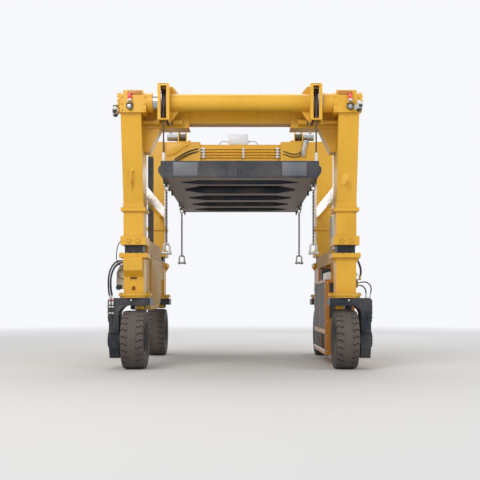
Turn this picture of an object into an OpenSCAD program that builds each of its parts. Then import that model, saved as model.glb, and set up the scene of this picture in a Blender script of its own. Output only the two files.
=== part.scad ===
// Straddle carrier with four slewing wheel forks, telescopic legs, a telescopic
// width and a rope-hung container spreader. Millimetres, +Z up, front end at -Y.
// The origin is on the floor, in the middle of the machine.

/* [Layout] */
// Distance between the front and rear wheel centres
wheelbase = 3900; // [3600:50:4400]
// Distance between the left and right wheel centres
track = 4190; // [4100:10:4600]
// Height of the cross tube's centre above the floor
tube_z = 5185; // [5100:5:5400]
// How far the cross tube lies outside the wheel centre, along the machine
tube_overhang = 470; // [440:10:520]

/* [Wheels] */
// Outside diameter of a tyre
tyre_d = 1160; // [1080:10:1200]
// Width of a tyre
tyre_w = 450; // [380:10:470]
// Diameter of the rim's bead seat
rim_d = 570; // [500:10:620]
// Width of the rim barrel
rim_w = 360; // [300:10:380]
// Thickness of the rim barrel and disc
rim_wall = 18; // [10:1:30]
// Diameter of the hub motor inside the rim
hub_d = 380; // [300:10:440]
// Diameter of the spindle that the wheel turns on
spindle_d = 120; // [80:5:160]

/* [Forks] */
// Height of the slewing face between fork and column
slew_z = 1410; // [1350:10:1500]
// Depth of the fork's top arm
fork_arm_h = 148; // [120:2:180]
// Reach of the top arm inwards from the slewing axis
fork_in = 325; // [280:5:360]
// Reach of the fork outwards from the slewing axis
fork_out = 510; // [490:5:560]
// Thickness of the fork's outer arm
fork_arm_w = 212; // [160:2:230]
// Radius of the corner between the two arms
fork_bend_r = 190; // [100:5:220]
// Length of the fork along the machine
fork_l = 480; // [400:10:560]
// Height of the fork's lowest edge
fork_low_z = 216; // [180:2:260]

/* [Columns] */
// Width of a column across the machine
column_w = 395; // [360:5:420]
// Length of a column along the machine
column_l = 420; // [380:10:460]
// Height of a column's upper flange face
column_top_z = 2290; // [2200:10:2350]
// Width of the upper flange
column_flange_w = 555; // [500:5:600]
// Diameter of the slewing flange
slew_d = 660; // [600:10:720]

/* [Telescopic legs] */
// Width of the inner leg
inner_w = 350; // [320:2:356]
// Length of the inner leg along the machine
inner_l = 430; // [380:2:440]
// Width of the outer tube
leg_w = 395; // [380:5:420]
// Length of the outer tube along the machine
leg_l = 480; // [460:5:520]
// Wall of the outer tube
leg_wall = 15; // [10:1:18]
// Height of the outer tube's lower edge
leg_low_z = 2455; // [2400:5:2550]
// Height of the wear-pad collar
pad_collar_h = 165; // [120:5:200]
// Height where the outer tube meets the leaning leg
knee_z = 3280; // [3200:10:3400]
// Width of the wear-pad collar
pad_collar_w = 500; // [460:5:540]

/* [Upper frame] */
// How far the leg's top stands above the cross tube's centre
leg_top_rise = 135; // [80:5:170]
// How far the shelf that carries the head lies below the cross tube's centre
head_drop = 225; // [190:5:260]
// Height of the head box
head_h = 335; // [300:5:360]
// Width of the head box
head_w = 502; // [480:2:540]
// Height of the upper rail's underside
rail_low_z = 3425; // [3350:5:3600]
// Depth of the upper rail
rail_h = 265; // [200:5:320]
// Thickness of the upper rail
rail_w = 120; // [80:5:140]
// Place of the left energy chain along the machine
chain_left_y = 410; // [-600:10:800]
// Place of the right energy chain along the machine
chain_right_y = -1390; // [-1400:10:600]
// Length of a cross sleeve
sleeve_l = 898; // [800:2:960]
// Depth of a cross sleeve
sleeve_h = 555; // [520:5:600]
// Length of a cross sleeve along the machine
sleeve_w = 400; // [380:5:420]
// How far the sleeve's underside lies below the cross tube's centre
sleeve_drop = 420; // [390:5:450]
// Wall of a cross sleeve
sleeve_wall = 40; // [20:1:60]
// Depth of the inner cross beam
beam_h = 400; // [360:5:420]
// Width of the inner cross beam
beam_w = 300; // [260:5:310]
// Length of the inner cross beam
beam_l = 3600; // [3400:20:3700]

/* [Cross tube and sheaves] */
// Diameter of the cross tube
tube_d = 344; // [300:2:360]
// Diameter of the chrome journal that slides in the head
journal_d = 310; // [280:2:320]
// Distance from the middle of the machine to the inner face of a sheave housing
housing_x = 1340; // [1300:5:1400]
// Width of a sheave housing
housing_w = 225; // [200:5:240]
// Thickness of the housing's side plates
housing_plate = 25; // [15:1:30]
// How far the sheave's centre lies below the cross tube's centre
sheave_drop = 65; // [30:5:90]
// Outer diameter of a sheave
sheave_d = 490; // [440:5:510]
// Thickness of a sheave
sheave_w = 80; // [60:2:110]
// Diameter of the hoist rope
rope_d = 18; // [12:1:24]
// Diameter of the sheave's pin
pin_d = 90; // [60:5:120]

/* [Spreader] */
// Length of the spreader along the machine
spreader_l = 5440; // [5300:20:5440]
// Width of the spreader at its widest
spreader_w = 3100; // [2900:10:3120]
// Height of the spreader's underside above the floor
spreader_z = 3690; // [3500:10:3800]
// Depth of the spreader
spreader_h = 320; // [260:10:360]
// Length of the recesses in its underside
recess_l = 2300; // [2000:20:2600]
// Depth of the recesses
recess_depth = 250; // [60:5:270]

/* [Hoists] */
// Diameter of a hoist drum
drum_d = 200; // [160:5:240]
// How far the drum's axis stands above the cross tube's centre
drum_rise = 293; // [285:1:310]
// Distance of the drum's axis from the wheel centres, along the machine
drum_back = 0; // [-40:5:40]
// Diameter of a hoist motor
motor_d = 180; // [140:5:200]

/* [Side bodies] */
// Width of the left side tank
tank_w = 390; // [340:5:420]
// Width of the right side beam
side_beam_w = 220; // [180:5:240]
// Width of the power pack
pack_w = 620; // [560:10:660]
// Length of the power pack
pack_l = 2350; // [2200:10:2400]
// Height of the power pack's underside
pack_low_z = 220; // [200:5:300]
// Height of the power pack's front part
pack_top_z = 1800; // [1700:10:1850]
// Thickness of the power pack's panels
pack_wall = 30; // [20:1:40]

/* [Hidden] */
leg_x = track / 2;
leg_y = wheelbase / 2;
round_fn = 64;
run_fit = 0.05;
seat_gap = 0.3;
move_gap = 10;
tyre_r = tyre_d / 2;
tube_y = leg_y + tube_overhang;
leg_in_x = leg_x - leg_w / 2;
leg_back_y = leg_y - leg_l / 2;
leg_top_z = tube_z + leg_top_rise;
head_low_z = tube_z - head_drop;
sleeve_low_z = tube_z - sleeve_drop;
sheave_z = tube_z - sheave_drop;
drum_z = tube_z + drum_rise;
plate_low_z = tube_z - 385;
plate_top_z = tube_z + 315;
sleeve_y = leg_back_y + 240;
sleeve_front_y = sleeve_y + sleeve_w / 2;
sleeve_top_z = sleeve_low_z + sleeve_h;
beam_z = sleeve_low_z + sleeve_h / 2 + 20;
head_front_y = tube_y + 190;
knee_lean = 360;
housing_out_x = housing_x + housing_w;
sheave_x = housing_x + housing_w / 2;
sheave_y = tube_y + 25;
rope_r = rope_d / 2;
pitch_r = sheave_d / 2 - 15;
fall_y = sheave_y + pitch_r;
spreader_top_z = spreader_z + spreader_h;
drum_y = leg_y - drum_back;

// Places a child drawn at the front left of a plan whose +X is outwards and
// whose -Y is the machine's end: side is -1 left or 1 right, end -1 front or 1 rear.
module quarter(side, end)
    mirror([side < 0 ? 1 : 0, 0, 0])
        mirror([0, end > 0 ? 1 : 0, 0])
            children();

module both_ends(side)
    for (end = [-1, 1]) quarter(side, end) children();

module all_quarters()
    for (side = [-1, 1]) both_ends(side) children();

module at_leg() translate([leg_x, -leg_y, 0]) children();

// Extrudes a front view (x, z) along Y, centred on the given y
module along_y(length, y = 0)
    translate([0, y, 0]) rotate([90, 0, 0]) linear_extrude(height = length, center = true) children();

// Extrudes a side view (y, z) along +X from the given x
module along_x(length, x = 0)
    translate([x, 0, 0]) rotate([90, 0, 90]) linear_extrude(height = length) children();

// A box from its lowest corner to its highest corner
module span(low, high) translate(low) cube(high - low);

// A cylinder along +X
module rod_x(x, y, z, length, d)
    translate([x, y, z]) rotate([0, 90, 0]) cylinder(d = d, h = length, $fn = round_fn);

// Wheels

tyre_bead = rim_d / 2 + seat_gap;
tyre_side = tyre_w / 2;
tyre_half = [
    [tyre_bead, tyre_side - 55], [tyre_bead + 30, tyre_side - 30],
    [(tyre_bead + tyre_r) / 2, tyre_side], [tyre_r - 85, tyre_side - 4],
    [tyre_r - 35, tyre_side - 16], [tyre_r - 10, tyre_side - 42], [tyre_r, tyre_side - 105]
];
function mirrored(points) = [for (i = [len(points) - 1:-1:0]) [points[i][0], -points[i][1]]];
module tyre_profile() polygon(concat(tyre_half, mirrored(tyre_half)));

module tyre()
    color([0.16, 0.14, 0.13])
        at_leg() translate([0, 0, tyre_r]) rotate([0, 90, 0])
            rotate_extrude($fn = round_fn) tyre_profile();

rim_disc_x = -70;
module rim()
    color([0.3, 0.32, 0.35])
        at_leg() translate([0, 0, tyre_r]) {
            difference() {
                rod_x(-rim_w / 2, 0, 0, rim_w, rim_d);
                rod_x(-rim_w / 2 - 1, 0, 0, rim_w + 2, rim_d - 2 * rim_wall);
            }
            difference() {
                union() {
                    rod_x(rim_disc_x, 0, 0, rim_wall, rim_d - rim_wall);
                    rod_x(rim_disc_x - 25, 0, 0, 25 + rim_wall, spindle_d + 90);
                }
                rod_x(rim_disc_x - 30, 0, 0, 60 + rim_wall, spindle_d + 2 * run_fit);
                for (turn = [0:30:330])
                    rotate([turn, 0, 0]) rod_x(rim_disc_x - 1, 0, rim_d * 0.31, rim_wall + 2, 46);
            }
        }

// Forks

module fork_front_view() {
    arm_low = slew_z - fork_arm_h;
    arm_in = fork_out - fork_arm_w;
    polygon([
        [-fork_in, arm_low], [-fork_in, slew_z], [fork_out - 45, slew_z],
        [fork_out, slew_z - 45], [fork_out, fork_low_z], [arm_in, fork_low_z],
        [arm_in, arm_low]
    ]);
    translate([arm_in - fork_bend_r, arm_low - fork_bend_r])
        difference() {
            square(fork_bend_r);
            circle(r = fork_bend_r, $fn = round_fn);
        }
}

module fork_side_view() {
    half = fork_l / 2;
    polygon([
        [-half, slew_z + 1], [half, slew_z + 1], [half, slew_z - 260], [half - 50, slew_z - 460],
        [half - 50, fork_low_z + 210], [100, fork_low_z], [-100, fork_low_z],
        [50 - half, fork_low_z + 210], [50 - half, slew_z - 460], [-half, slew_z - 260]
    ]);
}

module fork()
    color([0.16, 0.18, 0.21])
        at_leg() {
            arm_in = fork_out - fork_arm_w;
            difference() {
                intersection() {
                    along_y(fork_l) fork_front_view();
                    along_x(fork_in + fork_out + 2, -fork_in - 1) fork_side_view();
                }
                span([arm_in + 100, -fork_l, 900], [arm_in + 130, -fork_l / 2 + 60, 1050]);
                span([fork_out - 14, -fork_l, 0], [fork_out + 1, fork_l, 935]);
            }
            translate([0, 0, tyre_r]) {
                rod_x(rim_disc_x + rim_wall + move_gap, 0, 0, arm_in - rim_disc_x - rim_wall - move_gap + 1, hub_d);
                rod_x(rim_disc_x - 35, 0, 0, 60 + rim_wall, spindle_d);
                rod_x(fork_out - 14, 0, 0, 30, hub_d - 60);
            }
            rod_x(-210, 0, slew_z - fork_arm_h - 38, 300, 80);
        }

// Columns and side bodies

module column_flanges() {
    translate([0, 0, slew_z]) cylinder(d = slew_d - 50, h = 42, $fn = round_fn);
    translate([0, 0, slew_z + 41]) cylinder(d = slew_d, h = 51, $fn = round_fn);
    span([-column_flange_w / 2, -column_flange_w / 2, column_top_z - 84],
         [column_flange_w / 2, column_flange_w / 2, column_top_z]);
}

module column_plain()
    at_leg() {
        column_flanges();
        span([-column_w / 2, -column_l / 2, slew_z + 90], [column_w / 2, column_l / 2, column_top_z - 83]);
        for (side = [-1, 1])
            along_y(16, -column_l / 2 + 40)
                polygon([
                    [side * column_w / 2, column_top_z - 84], [side * column_flange_w / 2, column_top_z - 84],
                    [side * column_w / 2, column_top_z - 200]
                ]);
    }

socket_low_z = 1950;
socket_out = 150;
module column_socketed()
    at_leg() {
        column_flanges();
        difference() {
            span([-column_w / 2, -column_l / 2, slew_z + 90], [column_w / 2, column_l / 2, column_top_z - 83]);
            along_y(200, -column_l / 2) translate([0, 1800]) {
                translate([-50, 0]) circle(d = 46, $fn = round_fn);
                translate([50, 0]) circle(d = 46, $fn = round_fn);
                square([100, 46], center = true);
            }
            along_y(200, -column_l / 2) {
                translate([-35, 1560]) square([70, 50]);
                translate([0, 1610]) circle(d = 70, $fn = round_fn);
            }
        }
        along_x(column_w - 30, -column_w / 2 + 15)
            polygon([
                [-column_l / 2 + 1, column_top_z - 84], [-column_l / 2 - socket_out, column_top_z - 84],
                [-column_l / 2 - socket_out, socket_low_z], [-column_l / 2 + 1, socket_low_z - 120]
            ]);
    }

module left_columns()
    color([0.93, 0.70, 0.13]) {
        quarter(-1, -1) column_socketed();
        quarter(-1, 1) column_plain();
    }

module right_columns()
    color([0.93, 0.70, 0.13]) both_ends(1) column_plain();

inner_top_z = knee_z - 10;
module inner_legs(side)
    color([0.17, 0.18, 0.2])
        both_ends(side) at_leg()
            span([-inner_w / 2, -inner_l / 2, column_top_z], [inner_w / 2, inner_l / 2, inner_top_z]);

column_back_y = leg_y - column_l / 2;
body_in_x = leg_x - column_w / 2;
module left_tank()
    color([0.85, 0.70, 0.36])
        mirror([1, 0, 0]) {
            along_x(tank_w, body_in_x)
                polygon([
                    [-column_back_y, 1600], [-column_back_y, 2190], [-column_back_y + 180, 2190],
                    [-column_back_y + 220, 2560], [-column_back_y + 290, 2620], [800, 2620],
                    [1100, 2320], [column_back_y - 180, 2320], [column_back_y - 180, 2190],
                    [column_back_y, 2190], [column_back_y, 1900], [1080, 1860],
                    [1050, 1510], [550, 1190], [-1000, 1165], [-1340, 1440]
                ]);
            along_x(26, body_in_x - 25)
                polygon([
                    [-1180, 2200], [-1050, 2330], [620, 2330], [900, 2050], [860, 1560], [500, 1300],
                    [-950, 1280], [-1180, 1500]
                ]);
        }

module right_side_beam()
    color([0.85, 0.70, 0.36])
        along_x(side_beam_w, body_in_x)
            polygon([
                [-column_back_y, 1940], [-column_back_y, 2190], [-column_back_y + 150, 2190],
                [-column_back_y + 230, 2420], [column_back_y - 230, 2420], [column_back_y - 150, 2190],
                [column_back_y, 2190], [column_back_y, 1940], [column_back_y - 300, 2140],
                [300 - column_back_y, 2140]
            ]);

// Power pack: an open case with an outer frame, doors on its inner side

pack_x = 1780;
pack_out_x = pack_x + pack_w;
pack_front_y = -1250;
pack_rear_y = pack_front_y + pack_l;
door_low_z = 760;
door_top_z = 1740;
door_gap = 6;
door_post = 60;
door_w = (pack_l - 3 * door_post) / 2;
door_y = [pack_front_y + door_post, pack_front_y + 2 * door_post + door_w];
saddle_y = 100;
module pack_case()
    color([0.80, 0.48, 0.12])
        difference() {
            union() {
                span([pack_x, pack_front_y, pack_low_z], [pack_out_x, pack_rear_y, pack_top_z]);
                span([pack_x, saddle_y, pack_top_z - 1], [pack_out_x, pack_rear_y, 2080]);
                for (y = [saddle_y, pack_rear_y - 60])
                    span([body_in_x + 10, y, 2079], [body_in_x + side_beam_w - 10, y + 60, 2140]);
                span([body_in_x + 10, pack_front_y, pack_top_z - 1],
                     [body_in_x + side_beam_w - 10, pack_front_y + 60, 2140]);
            }
            span([pack_x + pack_wall, pack_front_y + pack_wall, pack_low_z + pack_wall],
                 [pack_out_x - pack_wall, pack_rear_y - pack_wall, pack_top_z - pack_wall]);
            for (i = [0, 1])
                span([pack_x - 1, door_y[i] - (i == 0 ? seat_gap : door_gap), door_low_z - door_gap],
                     [pack_x + pack_wall + 1, door_y[i] + door_w + (i == 1 ? seat_gap : door_gap),
                      door_top_z + door_gap]);
            span([pack_x - 1, pack_front_y + 90, pack_low_z + 110],
                 [pack_x + pack_wall + 1, pack_front_y + 900, 660]);
            span([pack_x + 90, pack_front_y - 1, 980],
                 [pack_out_x - 60, pack_front_y + 12, pack_top_z - 60]);
        }

module pack_engine()
    color([0.25, 0.26, 0.28])
        span([pack_x + 120, -650, pack_low_z + pack_wall], [pack_out_x - 80, 850, 1250]);

module pack_exhaust()
    color([0.85, 0.83, 0.78])
        translate([body_in_x + side_beam_w + 75, 960, 2080]) cylinder(d = 116, h = 1260, $fn = round_fn);

module pack_door(y)
    color([0.55, 0.50, 0.45])
        difference() {
            span([pack_x, y, door_low_z], [pack_x + pack_wall, y + door_w, door_top_z]);
            along_x(9, pack_x - 1) translate([y + door_w - 90, (door_low_z + door_top_z) / 2]) {
                square([46, 100], center = true);
                for (s = [-50, 50]) translate([0, s]) circle(d = 46, $fn = round_fn);
            }
        }

// Upper frame

handle_z = 3560;
lean = knee_lean / (head_low_z - knee_z);
function lean_y(z) = -leg_l / 2 - (z - knee_z) * lean;
module leg_side_view()
    polygon([
        [-leg_l / 2, knee_z], [leg_l / 2, knee_z], [leg_l / 2, leg_top_z],
        [leg_y - sleeve_front_y, leg_top_z], [leg_y - sleeve_front_y, head_low_z],
        [-leg_l / 2 - knee_lean, head_low_z]
    ]);

module leg()
    at_leg()
        difference() {
            union() {
                along_x(leg_w, -leg_w / 2) leg_side_view();
                span([-leg_w / 2, -leg_l / 2, leg_low_z], [leg_w / 2, leg_l / 2, knee_z + 1]);
                span([-pad_collar_w / 2, -leg_l / 2 - 55, leg_low_z],
                     [pad_collar_w / 2, leg_l / 2 + 55, leg_low_z + pad_collar_h]);
                span([-245, -leg_l / 2 - 48, knee_z - 165], [245, leg_l / 2 + 48, knee_z - 95]);
                span([-leg_w / 2 - 6, -leg_l / 2 - 6, knee_z - 96], [leg_w / 2 + 6, leg_l / 2 + 6, knee_z]);
                for (side = [-90, 90])
                    translate([side, -leg_l / 2 - 54, leg_low_z + pad_collar_h / 2])
                        rotate([90, 0, 0]) cylinder(d = 110, h = 14, $fn = round_fn);
                translate([20, lean_y(handle_z) - 40, handle_z]) rotate([atan(lean), 0, 0]) cube([22, 60, 150]);
            }
            span([-leg_w / 2 + leg_wall, -leg_l / 2 + leg_wall, leg_low_z + pad_collar_h],
                 [leg_w / 2 - leg_wall, leg_l / 2 - leg_wall, knee_z]);
            span([-inner_w / 2 - seat_gap, -inner_l / 2 - seat_gap, leg_low_z - 1],
                 [inner_w / 2 + seat_gap, inner_l / 2 + seat_gap, leg_low_z + pad_collar_h + 1]);
        }

module legs(side)
    color([0.93, 0.70, 0.13]) both_ends(side) leg();

module rail(side)
    color([0.93, 0.70, 0.13])
        mirror([side < 0 ? 1 : 0, 0, 0])
            span([leg_in_x, -leg_back_y, rail_low_z], [leg_in_x + rail_w, leg_back_y, rail_low_z + rail_h]);

module sleeve()
    translate([0, -sleeve_y, 0]) {
        difference() {
            span([leg_in_x - sleeve_l, -sleeve_w / 2, sleeve_low_z], [leg_in_x, sleeve_w / 2, sleeve_top_z]);
            span([leg_in_x - sleeve_l + 60, -sleeve_w / 2 + sleeve_wall, beam_z - beam_h / 2 - 10],
                 [leg_in_x - 20, sleeve_w / 2 - sleeve_wall, beam_z + beam_h / 2 + 10]);
            span([leg_in_x - sleeve_l - 1, -beam_w / 2 - seat_gap, beam_z - beam_h / 2 - seat_gap],
                 [leg_in_x - sleeve_l + 61, beam_w / 2 + seat_gap, beam_z + beam_h / 2 + seat_gap]);
        }
        along_y(sleeve_w - 60)
            polygon([
                [leg_in_x, sleeve_low_z + 1], [leg_in_x - 325, sleeve_low_z + 1],
                [leg_in_x - 105, sleeve_low_z - 465], [leg_in_x, sleeve_low_z - 465]
            ]);
    }

module sleeves(side)
    color([0.90, 0.67, 0.12]) both_ends(side) sleeve();

head_in_x = leg_x - 300;
head_out_x = head_in_x + head_w;
tray_top_z = tube_z + 205;
function side_collar(side) = side > 0 ? housing_out_x + 30 : housing_out_x + 110;
module head(side)
    difference() {
        union() {
            span([head_in_x, -head_front_y, head_low_z], [head_out_x, -sleeve_front_y, head_low_z + head_h]);
            rod_x(side_collar(side), -tube_y, tube_z, head_out_x - side_collar(side) + 20, 370);
            rod_x(head_out_x, -tube_y, tube_z, 38, 410);
            difference() {
                span([head_in_x + 55, -head_front_y + 20, head_low_z + head_h - 1],
                     [head_out_x - 60, -head_front_y + 320, tray_top_z]);
                span([head_in_x + 67, -head_front_y + 32, head_low_z + head_h + 5],
                     [head_out_x - 72, -head_front_y + 308, tray_top_z + 10]);
            }
        }
        rod_x(side_collar(side) - 1, -tube_y, tube_z, head_out_x - side_collar(side) - 30, journal_d + 2 * run_fit);
    }

module heads(side)
    color([0.93, 0.70, 0.13]) both_ends(side) head(side);

cyl_d = 110;
cyl_rod_d = 84;
cyl_y = sleeve_front_y + cyl_d / 2 + move_gap;
cyl_z = tube_z - 325;
cyl_in_x = 1130;
cyl_out_x = 1680;
module width_rods(side)
    color([0.88, 0.66, 0.13])
        both_ends(side) rod_x(cyl_in_x + 40, -cyl_y, cyl_z, leg_in_x - cyl_in_x - 40, cyl_rod_d);

module width_cylinders()
    color([0.88, 0.66, 0.13])
        all_quarters() difference() {
            rod_x(cyl_in_x, -cyl_y, cyl_z, cyl_out_x - cyl_in_x, cyl_d);
            rod_x(cyl_in_x + 35, -cyl_y, cyl_z, cyl_out_x - cyl_in_x, cyl_rod_d + 2 * run_fit);
        }

lamp_x = leg_x + 10;
module lamps(side)
    both_ends(side) translate([lamp_x, -head_front_y, 0]) {
        color("red") translate([0, -42, tube_z]) cylinder(d = 70, h = 125, $fn = round_fn);
        color("white") span([-38, -84, tube_z - 20], [38, 0, tube_z + 1]);
        color([0.1, 0.1, 0.1]) translate([0, 0, tube_z - 125]) rotate([90, 0, 0])
            cylinder(d = 110, h = 60, $fn = round_fn);
    }

module chain_guide(side)
    color([0.07, 0.07, 0.08])
        mirror([side < 0 ? 1 : 0, 0, 0]) {
            chain_y = side < 0 ? chain_left_y : chain_right_y;
            span([leg_in_x + rail_w, chain_y - 60, 2690], [leg_in_x + rail_w + 110, chain_y + 60, 4690]);
        }

// Cross units of the root

module cross_tubes()
    color([0.93, 0.70, 0.13])
        for (end = [-1, 1]) mirror([0, end > 0 ? 1 : 0, 0]) {
            rod_x(-housing_x, -tube_y, tube_z, 2 * housing_x, tube_d);
            for (side = [-1, 1]) {
                along_y(25, -tube_y)
                    polygon([
                        [side * housing_x, plate_top_z], [side * (housing_x - 40), plate_top_z],
                        [side * (housing_x - 170), tube_z + 150], [side * (housing_x - 170), tube_z - 150],
                        [side * housing_x, plate_low_z]
                    ]);
                span([side * 550 - 20, -tube_y, tube_z - 80],
                     [side * 550 + 20, -sleeve_y - beam_w / 2, tube_z + 60]);
            }
        }

module housing_side_view() {
    front = -fall_y - 45;
    back = -sleeve_front_y - 20;
    polygon([
        [front, plate_low_z], [front, plate_top_z - 40], [front + 40, plate_top_z],
        [back - 50, plate_top_z], [back, plate_top_z - 40], [back, tube_z - 115],
        [back - 120, cyl_z + 55], [-cyl_y, cyl_z + 70], [-cyl_y, cyl_z - 70],
        [-cyl_y - 160, cyl_z - 70], [front + 40, plate_low_z - 40]
    ]);
}

module housing()
    difference() {
        along_x(housing_w, housing_x) housing_side_view();
        span([housing_x + housing_plate, -fall_y - 30, plate_low_z - 100],
             [housing_out_x - housing_plate, -sleeve_front_y, plate_top_z - 15]);
        span([sheave_x - 55, -fall_y - 50, plate_low_z + 20], [sheave_x + 55, -fall_y, plate_top_z - 60]);
        span([sheave_x - rope_d, -sleeve_front_y - 150, plate_top_z - 60],
             [sheave_x + rope_d, -sleeve_front_y, plate_top_z + 1]);
        rod_x(housing_x - 1, -cyl_y, cyl_z, housing_w + 2, cyl_d + 2 * seat_gap);
    }

module sheave_housings()
    color([0.93, 0.70, 0.13])
        all_quarters() {
            housing();
            rod_x(housing_x + 2, -sheave_y, sheave_z, housing_w - 4, pin_d);
        }

groove_r = pitch_r - rope_r - seat_gap;
module sheave(side, end)
    color([0.35, 0.3, 0.26])
        quarter(side, end) translate([sheave_x - sheave_w / 2, -sheave_y, sheave_z]) rotate([0, 90, 0])
            rotate_extrude($fn = round_fn) {
                hub_r = pin_d / 2 + 40;
                polygon([
                    [pin_d / 2 + run_fit, -10], [hub_r, -10], [hub_r, 20], [pitch_r - 60, 20],
                    [pitch_r - 30, 0], [sheave_d / 2, 0], [sheave_d / 2, 8],
                    [groove_r, sheave_w / 2 - rope_r - 1], [groove_r, sheave_w / 2 + rope_r + 1],
                    [sheave_d / 2, sheave_w - 8], [sheave_d / 2, sheave_w], [pitch_r - 30, sheave_w],
                    [pitch_r - 60, sheave_w - 20], [hub_r, sheave_w - 20],
                    [hub_r, sheave_w + 10], [pin_d / 2 + run_fit, sheave_w + 10]
                ]);
            }

module journals()
    color([0.8, 0.8, 0.82])
        all_quarters() rod_x(housing_out_x, -tube_y, tube_z, head_out_x - housing_out_x - 60, journal_d);

module inner_beams()
    color([0.85, 0.62, 0.1])
        for (end = [-1, 1])
            span([-beam_l / 2, end * sleeve_y - beam_w / 2, beam_z - beam_h / 2],
                 [beam_l / 2, end * sleeve_y + beam_w / 2, beam_z + beam_h / 2]);

// Hoists on the rear cross unit

frame_low_z = sleeve_top_z + 15;
shaft_d = 60;
winch_rear_y = sleeve_front_y + 20;
module winch_side(x)
    difference() {
        along_x(housing_plate, x) {
            polygon([
                [drum_y - 150, frame_low_z], [winch_rear_y, frame_low_z], [winch_rear_y, plate_top_z - 40],
                [drum_y + 110, drum_z + 50], [drum_y - 110, drum_z + 50], [drum_y - 150, frame_low_z + 60]
            ]);
            translate([drum_y, drum_z]) circle(r = 125, $fn = round_fn);
        }
        rod_x(x - 1, drum_y, drum_z, housing_plate + 2, shaft_d + 2 * run_fit);
    }

module winch_frames()
    color([0.93, 0.70, 0.13])
        for (side = [-1, 1]) mirror([side < 0 ? 1 : 0, 0, 0]) {
            winch_side(housing_x);
            winch_side(housing_out_x - housing_plate);
            span([housing_x, drum_y - 150, frame_low_z],
                 [housing_out_x, drum_y + 150, frame_low_z + 20]);
        }

module drum(side)
    color([0.4, 0.36, 0.3])
        mirror([side < 0 ? 1 : 0, 0, 0]) {
            inner = housing_x + housing_plate + 8;
            length = housing_w - 2 * housing_plate - 16;
            rod_x(inner, drum_y, drum_z, length, drum_d - rope_d - 2 * seat_gap);
            rod_x(inner, drum_y, drum_z, 10, drum_d + 30);
            rod_x(inner + length - 10, drum_y, drum_z, 10, drum_d + 30);
            rod_x(housing_x, drum_y, drum_z, housing_w - seat_gap, shaft_d);
        }

module winch_motors()
    color([0.7, 0.71, 0.72])
        for (side = [-1, 1]) mirror([side < 0 ? 1 : 0, 0, 0]) {
            rod_x(housing_out_x, drum_y, drum_z, 60, motor_d + 20);
            rod_x(housing_out_x + 59, drum_y, drum_z, 215, motor_d);
        }

// Ropes: an arc over each sheave, a run to the drum, and a fall to the spreader.
// The front run leaves the drum below and the rear run above, so both pay out together.

drum_r = drum_d / 2;
reach = [sheave_y - drum_y, sheave_z - drum_z];
rear_slope = atan2(reach[1], reach[0]) + asin((pitch_r - drum_r) / norm(reach));
rear_normal = [-sin(rear_slope), cos(rear_slope)];
module rope_arc(turn)
    rotate([90, 0, -90])
        rotate_extrude(angle = turn, $fn = round_fn) translate([pitch_r, 0]) circle(r = rope_r, $fn = 24);

module rope_run(from, to) {
    step = to - from;
    translate(from) rotate([0, 0, atan2(step[1], step[0])])
        rotate([0, atan2(norm([step[0], step[1]]), step[2]), 0])
            translate([0, 0, seat_gap]) cylinder(r = rope_r, h = norm(step) - seat_gap, $fn = 24);
}

module rope_runs()
    color([0.3, 0.25, 0.2])
        for (side = [-1, 1]) mirror([side < 0 ? 1 : 0, 0, 0]) {
            translate([sheave_x, -sheave_y, sheave_z]) rope_arc(90);
            rope_run([sheave_x, -sheave_y, sheave_z + pitch_r], [sheave_x, drum_y, drum_z - drum_r]);
            translate([sheave_x, sheave_y, sheave_z]) mirror([0, 1, 0]) rope_arc(90 + rear_slope);
            rope_run(
                [sheave_x, sheave_y + pitch_r * rear_normal[0], sheave_z + pitch_r * rear_normal[1]],
                [sheave_x, drum_y + drum_r * rear_normal[0], drum_z + drum_r * rear_normal[1]]
            );
        }

socket_h = 160;
module rope_falls()
    color([0.3, 0.25, 0.2])
        all_quarters() translate([sheave_x, -fall_y, spreader_top_z + socket_h])
            cylinder(r = rope_r, h = sheave_z - spreader_top_z - socket_h, $fn = 24);

module rope_sockets()
    color([0.9, 0.9, 0.88])
        all_quarters() translate([sheave_x, -fall_y, spreader_top_z])
            cylinder(d = 56, h = socket_h, $fn = round_fn);

module pipe_bank()
    color([0.88, 0.66, 0.13]) {
        y = sleeve_y - beam_w / 2;
        for (row = [0:3]) rod_x(-960, y - 30, beam_z - 120 + row * 70, 1920, 28);
        for (x = [-940, 50, 900])
            span([x, y - 50, beam_z - 150], [x + 40, y, beam_z + 120]);
    }

module junction_box()
    color([0.9, 0.9, 0.9])
        span([-300, sleeve_y - 110, beam_z + beam_h / 2], [190, sleeve_y + 110, beam_z + beam_h / 2 + 275]);

// Spreader

// Each recess of the underside: where it starts and how wide it is, as shares of the
// spreader's length
recess_table = [
    [-0.4485, 0.0956], [-0.3235, 0.2004], [-0.0699, 0.1434], [0.1324, 0.1471], [0.3235, 0.1287]
];
recess_taper = 350;
module recess(start, width)
    translate([0, start + width / 2, spreader_z - 1])
        linear_extrude(height = recess_depth + 1)
            polygon([
                [-recess_l / 2, -width / 10], [recess_taper - recess_l / 2, -width / 2],
                [recess_l / 2 - recess_taper, -width / 2], [recess_l / 2, -width / 10],
                [recess_l / 2, width / 10], [recess_l / 2 - recess_taper, width / 2],
                [recess_taper - recess_l / 2, width / 2], [-recess_l / 2, width / 10]
            ]);

spreader_half = [
    [spreader_w / 2 - 130, spreader_top_z], [spreader_w / 2, spreader_top_z - 130],
    [spreader_w / 2, spreader_z + 110], [spreader_w / 2 - 80, spreader_z]
];
module spreader()
    color([0.2, 0.22, 0.26]) {
        difference() {
            along_y(spreader_l)
                polygon(concat(
                    spreader_half,
                    [for (i = [len(spreader_half) - 1:-1:0]) [-spreader_half[i][0], spreader_half[i][1]]]
                ));
            for (row = recess_table) recess(row[0] * spreader_l, row[1] * spreader_l);
        }
        all_quarters() translate([sheave_x, -fall_y + 20, spreader_top_z - 100])
            cylinder(d = 120, h = 100, $fn = round_fn);
    }

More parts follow.
